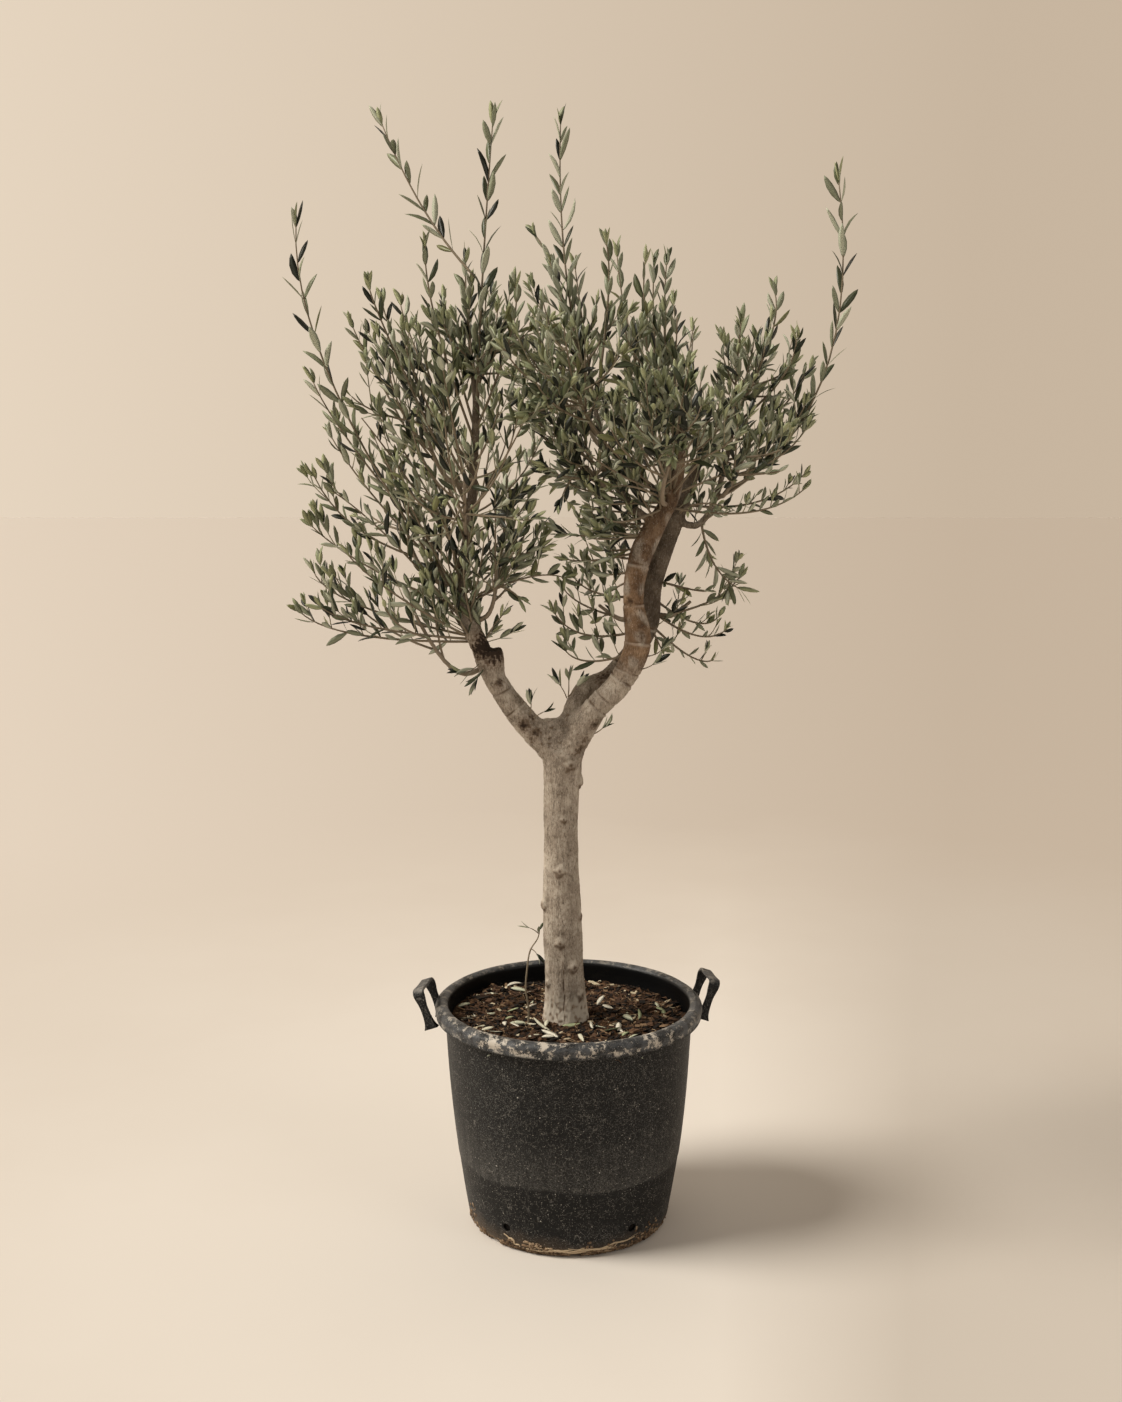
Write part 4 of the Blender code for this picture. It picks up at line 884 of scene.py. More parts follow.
limb_rows = {name: smooth_line(joints)[first * SPAN_STEPS:last * SPAN_STEPS + 1]
             for name, (joints, first, last) in LIMB_PARTS.items()}
for name, carrier, share, tip, thick, thin in SIDE_BOUGHS:
    limb_rows[name] = side_line(limb_rows[carrier], share, tip, (thick, thin))
print("limbs:", {name: round(float(lengths_along(rows)[-1]), 3) for name, rows in limb_rows.items()})

# %% Melt the limbs into one skin
VOXEL = 0.0023
FORK_PLACES = ((-0.010, 0.000, 0.915, 0.070), (0.070, 0.000, 1.025, 0.050), (-0.135, -0.010, 1.045, 0.030),
               (0.160, -0.025, 1.330, 0.035), (0.205, 0.045, 1.335, 0.030))
RELAX_ROUNDS = 26


def mesh_arrays(mesh):
    """Points, quads and normals of a mesh that has only quads."""
    points = np.empty(len(mesh.vertices) * 3, np.float32)
    mesh.vertices.foreach_get("co", points)
    corners = np.empty(len(mesh.loops), np.int32)
    mesh.loops.foreach_get("vertex_index", corners)
    normals = np.empty(len(mesh.vertices) * 3, np.float32)
    mesh.vertex_normals.foreach_get("vector", normals)
    return points.reshape(-1, 3).astype(float), corners.reshape(-1, 4), normals.reshape(-1, 3).astype(float)


def relax(points, quads, weight, rounds):
    """Moves each point towards the mean of its neighbours by its weight, a few times over."""
    a = quads.ravel()
    b = np.roll(quads, -1, axis=1).ravel()
    count = np.bincount(a, minlength=len(points)) + np.bincount(b, minlength=len(points))
    for _ in range(rounds):
        total = np.stack([np.bincount(a, points[b, k], len(points)) + np.bincount(b, points[a, k], len(points))
                          for k in range(3)], axis=1)
        points = points + (total / count[:, None] - points) * weight[:, None]
    return points


def limb_skin():
    """All limbs as tubes in one mesh, remeshed by voxels into a single closed skin."""
    heap = Heap()
    whole = [smooth_line(j, 12) for j in (TRUNK, LEFT, RIGHT, MIDDLE, CROTCH, PRUNED_STUB)]
    whole += [limb_rows[entry[0]] for entry in SIDE_BOUGHS]
    for rows in whole:
        heap.add(*tube(rows[:, :3], rows[:, 3], 32))
    blank = heap.make("limb_tubes", [])
    remesh = blank.modifiers.new("melt", "REMESH")
    remesh.mode = "VOXEL"
    remesh.voxel_size = VOXEL
    skin = baked(blank)
    remove_piece(blank)
    points, quads, _ = mesh_arrays(skin)
    near = np.full(len(points), 0.12)
    for x, y, z, reach in FORK_PLACES:
        away = np.linalg.norm(points - (x, y, z), axis=1)
        near = np.maximum(near, 0.9 * (1.0 - fade(away, 0.5 * reach, reach)))
    points = relax(points, quads, near, RELAX_ROUNDS)
    skin.vertices.foreach_set("co", points.astype(np.float32).ravel())
    skin.update()
    points, quads, normals = mesh_arrays(skin)
    bpy.data.meshes.remove(skin)
    return points, quads, normals


bark_points, bark_quads, bark_normals = limb_skin()
print("bark skin:", len(bark_points), "points")

# %% [markdown]
# ## The relief of the bark
# Young olive bark is grey and almost smooth, with shallow upright creases, a stitch-like grain,
# and hard little knots where buds were rubbed off. At the fork it gathers into folds. Higher up
# there are ring scars from old ties and prunings. A sculptor would brush these on; here each is
# a formula for how far a point moves along its normal. The knots are also painted pale above and
# dark below, as painted highlight and painted shade. The grain has to follow each limb, so
# every point first looks up where it is on its limb: how far along, and how far round.

# %% Where each point lies on its limb
GUIDES = [smooth_line(j, 24) for j in (TRUNK, LEFT, RIGHT, MIDDLE)]
GUIDES += [limb_rows[entry[0]] for entry in SIDE_BOUGHS]


def limb_places(points):
    """For each point: its limb's number, the distance along it and round it, and the limb's
    radius there, from the nearest row of all the limbs' lines."""
    rows = np.vstack(GUIDES)
    limb = np.concatenate([np.full(len(g), i) for i, g in enumerate(GUIDES)])
    along = np.concatenate([lengths_along(g) for g in GUIDES])
    slope = np.vstack([unit(np.gradient(g[:, :3], axis=0)) for g in GUIDES])
    nearest = np.empty(len(points), int)
    for part in np.array_split(np.arange(len(points)), 24):
        gap = np.linalg.norm(points[part, None] - rows[None, :, :3], axis=2) - rows[None, :, 3]
        nearest[part] = gap.argmin(axis=1)
    axis = slope[nearest]
    away = points - rows[nearest, :3]
    extra = (away * axis).sum(axis=1)
    away = away - axis * extra[:, None]
    front = unit(np.array([0.0, -1.0, 0.0]) + axis * axis[:, 1:2])
    right = np.cross(axis, front)
    round_angle = np.arctan2(-(away * right).sum(axis=1), (away * front).sum(axis=1))
    return limb[nearest], along[nearest] + extra, round_angle, rows[nearest, 3]


limb_index, bark_along, bark_angle, bark_radius = limb_places(bark_points)
print("points on each limb:", np.bincount(limb_index))

# %% Creases, folds, knots and scars
# Knots of the trunk: height, angle from the front in degrees (right is positive), size, rise.
TRUNK_KNOTS = ((0.842, 86, 0.0080, 0.0060), (0.682, -4, 0.0075, 0.0042), (0.612, -72, 0.0085, 0.0058),
               (0.545, -8, 0.0070, 0.0045), (0.498, 30, 0.0075, 0.0055), (0.462, -58, 0.0065, 0.0040),
               (0.442, 50, 0.0070, 0.0055), (0.880, 24, 0.0085, 0.0050), (0.778, 8, 0.0045, 0.0020),
               (0.590, 72, 0.0060, 0.0030), (0.740, 150, 0.0080, 0.0050), (0.640, 205, 0.0085, 0.0055),
               (0.540, 160, 0.0075, 0.0045), (0.480, 235, 0.0080, 0.0050), (0.820, 215, 0.0070, 0.0040))
KNOT_GROWTH = 1.22
# Scars: place, reach, depth (a raised one is below 0) and how dark.
LIMB_SCARS = (((-0.082, -0.026, 0.952), 0.012, 0.0016, 0.9), ((-0.060, -0.026, 0.938), 0.010, 0.0012, 0.8),
              ((-0.066, -0.024, 0.968), 0.007, 0.0010, 0.9), ((-0.070, -0.028, 0.925), 0.009, 0.0008, 0.6),
              ((-0.127, -0.027, 1.030), 0.0085, -0.0022, 0.8), ((-0.036, -0.034, 0.945), 0.013, 0.0020, 0.9),
              ((-0.028, -0.036, 0.930), 0.008, 0.0014, 0.9), ((0.030, -0.040, 0.925), 0.010, 0.0014, 0.8),
              ((0.023, -0.036, 0.907), 0.012, 0.0018, 0.9), ((0.020, -0.036, 0.886), 0.009, -0.0030, 0.7),
              ((0.008, -0.038, 0.894), 0.007, 0.0010, 0.6), ((-0.040, -0.034, 0.850), 0.010, 0.0006, 0.45),
              ((0.046, -0.038, 0.954), 0.012, 0.0016, 0.8), ((0.062, 0.010, 1.040), 0.018, 0.0030, 0.9),
              ((0.100, 0.020, 1.075), 0.022, 0.0030, 0.8), ((0.098, -0.045, 1.040), 0.009, 0.0014, 0.7),
              ((0.128, -0.050, 1.120), 0.012, -0.0030, 0.5), ((0.108, -0.050, 1.180), 0.009, 0.0016, 0.8),
              ((-0.138, -0.020, 1.098), 0.028, 0.0020, 2.6), ((-0.158, -0.020, 1.092), 0.018, 0.0015, 2.0),
              ((0.118, -0.008, 1.090), 0.014, 0.0035, 1.4), ((0.125, -0.008, 1.120), 0.013, 0.0035, 1.4),
              ((-0.020, -0.036, 0.962), 0.010, 0.0012, 0.8), ((-0.048, -0.032, 0.958), 0.009, 0.0012, 0.8))
# Ring scars: limb number, distance along it, depth and width.
LIMB_RINGS = ((2, 0.118, 0.0016, 0.0022), (2, 0.142, 0.0010, 0.0018), (2, 0.186, 0.0017, 0.0022),
              (2, 0.205, 0.0010, 0.0016), (2, 0.262, 0.0013, 0.0020), (2, 0.330, 0.0011, 0.0020),
              (2, 0.402, 0.0012, 0.0022), (1, 0.128, 0.0009, 0.0018), (1, 0.170, 0.0010, 0.0020),
              (1, 0.240, 0.0010, 0.0018), (3, 0.205, 0.0012, 0.0022), (3, 0.290, 0.0010, 0.0020))
SEAM_LOW, SEAM_HIGH, SEAM_ANGLE = 0.380, 0.520, 2.0


def trunk_spot(height, degrees):
    """A place on the trunk's skin, by height and angle from the front."""
    row = [np.interp(height, GUIDES[0][:, 2], GUIDES[0][:, k]) for k in (0, 1, 3)]
    a = math.radians(degrees)
    return np.array([row[0] + row[2] * math.sin(a), row[1] - row[2] * math.cos(a), height])


def bark_relief():
    """How far each point moves along its normal, and how scarred and how pale it is, from 0 to 1.
    The dark skirt under each knot in the scar mask is painted shade, and its pale upper rim a
    painted highlight.
    """
    grain = np.column_stack([bark_angle * bark_radius / 0.0060, bark_along / 0.045, limb_index * 3.7])
    fine = np.column_stack([bark_angle * bark_radius / 0.0034, bark_along / 0.0075, limb_index * 2.1])
    thick = np.clip(bark_radius / 0.030, 0.25, 1.0)
    crease = ripple(grain, 1.0, 31)
    move = thick * (0.00026 * crease - 0.00050 * fade(crease, 0.9, 2.2) + 0.00020 * ripple(fine, 1.0, 32))
    move += thick * (0.0006 * ripple(bark_points, 0.110, 33) + 0.00028 * ripple(bark_points, (0.022, 0.022, 0.060), 34))
    fork = 1.0 - fade(np.linalg.norm((bark_points - (-0.008, 0.0, 0.925)) * (0.75, 1.0, 1.0), axis=1), 0.035, 0.085)
    folds = np.column_stack([bark_along / 0.016, bark_angle * bark_radius / 0.022, limb_index * 1.3])
    move += fork * 0.00060 * ripple(folds, 1.0, 35) + fork * 0.00022 * ripple(bark_points, 0.009, 36)
    scarred_or_shaded = 0.40 * fork * fade(ripple(bark_points, (0.014, 0.014, 0.008), 37), 1.1, 1.9)
    pale = np.zeros(len(bark_points))
    wander = ripple(bark_points, 0.009, 39)
    for height, degrees, size, rise in TRUNK_KNOTS:
        spot, size, rise = trunk_spot(height, degrees), KNOT_GROWTH * size, KNOT_GROWTH * rise
        away = np.linalg.norm((bark_points - spot) * (1.0, 1.0, 0.85), axis=1) / size
        away = away + 0.16 * wander * np.minimum(away, 1.0)
        low = fade(spot[2] - bark_points[:, 2], -0.5 * size, 0.9 * size)
        move += rise * np.exp(-away ** 2 * 1.5) - 0.30 * rise * np.exp(-(away / 0.30) ** 2)
        move -= 0.0005 * np.exp(-((away - 1.35) / 0.30) ** 2)
        scarred_or_shaded = np.maximum(scarred_or_shaded, 0.62 * np.exp(-(away / 0.34) ** 2))
        # Painted shade below each knot, in the scar mask, and a painted highlight above it, in pale.
        scarred_or_shaded = np.maximum(scarred_or_shaded, 0.50 * low * np.exp(-((away - 0.8) / 0.50) ** 2))
        pale = np.maximum(pale, 0.65 * (1.0 - low) * np.exp(-((away - 0.75) / 0.42) ** 2))
    for place, reach, depth, dark in LIMB_SCARS:
        away = np.linalg.norm(bark_points - place, axis=1) / reach
        ragged = away + 0.22 * ripple(bark_points, 0.006, 38)
        move -= depth * np.exp(-ragged ** 2 * 1.6)
        scarred_or_shaded = np.maximum(scarred_or_shaded, dark * np.exp(-ragged ** 2 * 1.4))
    for limb, along, depth, width in LIMB_RINGS:
        wavy = bark_along - along + 0.0022 * np.sin(bark_angle + along * 90.0)
        ring = np.where(limb_index == limb, np.exp(-(wavy / width) ** 2), 0.0)
        lip = np.where(limb_index == limb, np.exp(-((wavy + 2.2 * width) / width) ** 2), 0.0)
        move += 0.55 * depth * lip - depth * ring
        scarred_or_shaded = np.maximum(scarred_or_shaded, 0.60 * ring * (0.6 + 0.4 * np.sin(bark_angle * 3.0 + along * 50.0)))
        pale = np.maximum(pale, 0.70 * lip * (0.6 + 0.4 * np.sin(bark_angle * 2.0 + along * 31.0)))
    on_trunk = (limb_index == 0) & (bark_points[:, 2] < 0.60)
    seam_away = (bark_angle - math.radians(SEAM_ANGLE)) * bark_radius + 0.0009 * np.sin(bark_points[:, 2] * 160.0)
    seam = np.exp(-(seam_away / 0.0011) ** 2) * (1.0 - fade(bark_points[:, 2], SEAM_HIGH - 0.03, SEAM_HIGH))
    seam = np.where(on_trunk, seam, 0.0)
    move -= 0.0011 * seam
    flute = 0.0022 * np.cos(bark_angle * 5.0 + 0.6) * (1.0 - fade(bark_points[:, 2], 0.385, 0.440))
    move += np.where(on_trunk, flute, 0.0)
    return move, np.clip(np.maximum(scarred_or_shaded, 0.7 * seam), 0.0, 1.0), np.clip(pale, 0.0, 1.0)


bark_move, bark_scar_and_shade, bark_pale = bark_relief()
bark_skin = bark_points + bark_normals * bark_move[:, None]
print("relief from %.4f to %.4f m" % (bark_move.min(), bark_move.max()))

# %% [markdown]
# ## The bark's colour
# The trunk is a warm pale grey, speckled and stitched with darker lines. At the foot, where it
# stays damp, it is orange brown, and its pale patches there are painted light. The right bough
# has orange patches where flakes have come off, and its top is darkened brown as painted shade,
# like the thin leaders, the middle and side boughs inside the crown, and the fork's crotch. These
# changes have their place on the tree, so they are stored on the mesh as attributes, a number for
# each point, and the material mixes its colours by them. Noise in the object's own coordinates
# adds what is too fine for the mesh.

# %% Bark finish
def bark_attributes(piece):
    """Stores four masks on the mesh's points, each 0 to 1: scar, with painted shade under the knots;
    pale, with painted highlights on the knots and painted light at the foot; warm; and the painted
    shade of the limbs inside the crown and of the fork's crotch.
    """
    right = (limb_index == 2) & (bark_points[:, 2] > 1.02)
    warm = np.where(right, fade(bark_points[:, 2], 1.02, 1.09) * fade(ripple(bark_points, (0.030, 0.030, 0.050), 41), -2.0, 0.2), 0.0)
    foot = 0.60 * (1.0 - fade(bark_points[:, 2] + 0.006 * ripple(bark_points, 0.020, 42), 0.412, 0.462))
    warm = np.maximum(warm, np.where(limb_index == 0, foot, 0.0))
    # Painted shade: the upper left bough, the middle bough, the side boughs inside the crown, the upper right bough and
    # the fork's crotch are darkened.
    limb_shade = np.maximum(fade(bark_points[:, 2], 1.08, 1.20) * (limb_index == 1), 0.40 * (limb_index == 3))
    limb_shade = np.maximum(limb_shade, fade(bark_points[:, 2], 1.04, 1.10) * (limb_index == 3))
    fork = 1.0 - fade(np.linalg.norm(bark_points - (0.0, 0.0, 0.925), axis=1), 0.035, 0.090)
    limb_shade = np.maximum(limb_shade, 0.30 * fork * fade(ripple(bark_points, 0.024, 43), -1.0, 1.0))
    limb_shade = np.maximum(limb_shade, 0.8 * (limb_index > 3))
    limb_shade = np.maximum(limb_shade, 0.5 * fade(bark_points[:, 2], 1.18, 1.34) * (limb_index == 2))
    # Painted light: pale patches on the foot stand in for light that the rim and the dark compost keep from it.
    pale = np.maximum(bark_pale, 2.2 * foot * (limb_index == 0) * fade(ripple(bark_points, 0.012, 44), -1.6, 0.2))
    for name, values in (("scar_and_shade", bark_scar_and_shade), ("pale", pale), ("warm", warm), ("limb_shade", limb_shade)):
        stored = piece.data.attributes.new(name, "FLOAT", "POINT")
        stored.data.foreach_set("value", values.astype(np.float32))


def bark_finish():
    """Grey bark with stitched grain; warm, scar and pale come from the mesh, and so does the painted
    shade that turns the limbs inside the crown and the fork's crotch dark brown.
    """
    material, tree, shader, place = new_material("olive_bark", 0.86, specular=0.18)
    scar_and_shade, warm, limb_shade, pale = (add_node(tree, "Attribute", attribute_name=name).outputs["Fac"]
                              for name in ("scar_and_shade", "warm", "limb_shade", "pale"))
    stitched = add_node(tree, "Mapping", {"Vector": place, "Scale": (1.0, 1.0, 0.36)}).outputs["Vector"]
    streaked = add_node(tree, "Mapping", {"Vector": place, "Scale": (1.0, 1.0, 0.10)}).outputs["Vector"]
    grain = noise(tree, stitched, 400.0, 3.0, 0.80)
    streak = noise(tree, streaked, 120.0, 5.0, 0.72)
    cloud = noise(tree, place, 30.0, 8.0, 0.72)
    grey = ramp(tree, cloud, [(0.34, (0.196, 0.157, 0.122)), (0.50, (0.350, 0.294, 0.238)), (0.64, (0.525, 0.460, 0.384))])
    grey = blend_colours(tree, spread(tree, streak, 0.50, 0.68, 0.0, 0.55), grey, (0.150, 0.118, 0.090))
    rust = ramp(tree, cloud, [(0.34, (0.066, 0.036, 0.019)), (0.50, (0.178, 0.101, 0.052)), (0.68, (0.330, 0.208, 0.118))])
    shade_brown = ramp(tree, cloud, [(0.32, (0.036, 0.026, 0.018)), (0.50, (0.078, 0.057, 0.039)), (0.70, (0.165, 0.125, 0.088))])
    colour = blend_colours(tree, reckon(tree, "MULTIPLY", warm, 0.92), grey, rust)
    # Painted shade: the limbs inside the crown and the fork's crotch turn dark brown.
    colour = blend_colours(tree, reckon(tree, "MULTIPLY", limb_shade, 0.80), colour, shade_brown)
    colour = blend_colours(tree, spread(tree, grain, 0.545, 0.67, 0.0, 0.80), colour, (0.070, 0.050, 0.036))
    plain = reckon(tree, "SUBTRACT", 1.0, reckon(tree, "MULTIPLY", reckon(tree, "MAXIMUM", warm, limb_shade), 0.70))
    pale_grain = reckon(tree, "MULTIPLY", spread(tree, grain, 0.475, 0.36, 0.0, 0.55), plain)
    colour = blend_colours(tree, pale_grain, colour, (0.560, 0.505, 0.430))
    specks = use_group(tree, specks_group, {"Place": place, "Scale": 330.0, "Size": 0.26, "Share": 0.12})["Mask"]
    colour = blend_colours(tree, reckon(tree, "MULTIPLY", specks, 0.35), colour, (0.580, 0.530, 0.460))
    colour = blend_colours(tree, reckon(tree, "MULTIPLY", pale, 0.75), colour, (0.560, 0.500, 0.420))
    # The scar mask holds real scars and the painted shade under the knots; both darken the bark.
    scar_stain_and_shade = spread(tree, scar_and_shade, 0.05, 0.40, 0.0, 0.60)
    colour = blend_colours(tree, scar_stain_and_shade, colour, (0.120, 0.070, 0.038))
    colour = blend_colours(tree, spread(tree, scar_and_shade, 0.30, 0.85, 0.0, 0.95), colour, (0.026, 0.016, 0.011))
    tree.links.new(colour, shader.inputs["Base Color"])
    fine = use_group(tree, grain_group, {"Place": stitched, "Scale": 420.0, "Coarse": 0.35})["Height"]
    set_bump(tree, shader, fine, 0.90, 0.0018)
    return material


bark = make_piece("bark", bark_skin, [bark_quads], [bark_finish()])
bark_attributes(bark)
settle(bark, "bark", "trunk", "bough_left_lower", "bough_left_upper", "bough_right_lower", "bough_right_upper",
       "bough_middle_lower", "bough_middle_upper", "bough_crown_centre", "bough_crown_right")

# %% [markdown]
# ## How the crown grows
# An olive sets its leaves in opposite pairs, and each pair stands square to the one before. Side
# shoots come from the same joints, so a branch is its parent again at a smaller size. The crown
# is eighteen masses, each on its own stem. From a stem grow branches that end evenly over the
# mass's outline, dealt by the golden angle, and the named rods that rise out of the top or reach
# from the skirt. Four habits give a branch its manner: upright water shoots have long, widely
# set leaves, skirt branches lie flat and carry short upright shoots, sprays are dense, and one
# shoot hangs. A particle system could scatter leaves faster, but only growth puts them on twigs.

# %% Masses, rods and habits
# Each mass: carrier, share along it, centre, half sizes, branches, and how high its branches rise
# of the upper half size.
MASSES = {
    "foliage_left_lower": ("bough_left_lower", 0.80, (-0.34, -0.03, 1.22), (0.15, 0.15, 0.09), 3, 0.9),
    "foliage_left_middle": ("bough_left_upper", 0.30, (-0.36, 0.02, 1.38), (0.13, 0.16, 0.11), 4, 0.9),
    "foliage_left_upper": ("bough_left_upper", 0.72, (-0.30, -0.02, 1.58), (0.12, 0.15, 0.13), 5, 0.70),
    "foliage_left_top": ("bough_left_upper", 1.00, (-0.145, 0.00, 1.655), (0.12, 0.14, 0.15), 9, 0.45),
    "foliage_left_inner": ("bough_left_upper", 0.12, (-0.11, -0.03, 1.29), (0.07, 0.13, 0.15), 8, 1.0),
    "foliage_left_front": ("bough_left_upper", 0.52, (-0.175, -0.26, 1.44), (0.15, 0.14, 0.19), 8, 0.8),
    "foliage_left_back": ("bough_left_upper", 0.42, (-0.165, 0.27, 1.42), (0.16, 0.15, 0.20), 8, 0.8),
    "foliage_centre_top": ("bough_crown_centre", 1.00, (0.00, 0.00, 1.665), (0.10, 0.15, 0.14), 8, 0.45),
    "foliage_centre_lower": ("bough_crown_centre", 0.42, (0.01, -0.05, 1.43), (0.10, 0.14, 0.10), 10, 1.0),
    "foliage_centre_back": ("bough_crown_centre", 0.72, (-0.01, 0.26, 1.57), (0.14, 0.14, 0.15), 8, 0.7),
    "foliage_centre_front": ("bough_crown_centre", 0.80, (-0.02, -0.26, 1.60), (0.14, 0.13, 0.14), 8, 0.5),
    "foliage_centre_hanging": ("bough_right_upper", 0.16, (0.03, 0.06, 1.17), (0.08, 0.11, 0.08), 2, 0.9),
    "foliage_right_top": ("bough_right_upper", 1.00, (0.145, 0.00, 1.65), (0.10, 0.15, 0.14), 10, 0.40),
    "foliage_right_front": ("bough_right_upper", 0.93, (0.18, -0.26, 1.52), (0.16, 0.15, 0.13), 10, 0.6),
    "foliage_right_back": ("bough_middle_upper", 0.90, (0.17, 0.28, 1.48), (0.17, 0.15, 0.19), 10, 0.8),
    "foliage_right_side": ("bough_crown_right", 1.00, (0.325, 0.00, 1.59), (0.11, 0.15, 0.11), 8, 0.6),
    "foliage_right_middle": ("bough_crown_right", 0.45, (0.325, -0.05, 1.46), (0.13, 0.15, 0.09), 8, 0.9),
    "foliage_right_lower": ("bough_middle_upper", 0.12, (0.25, 0.03, 1.18), (0.10, 0.13, 0.10), 2, 0.9),
}
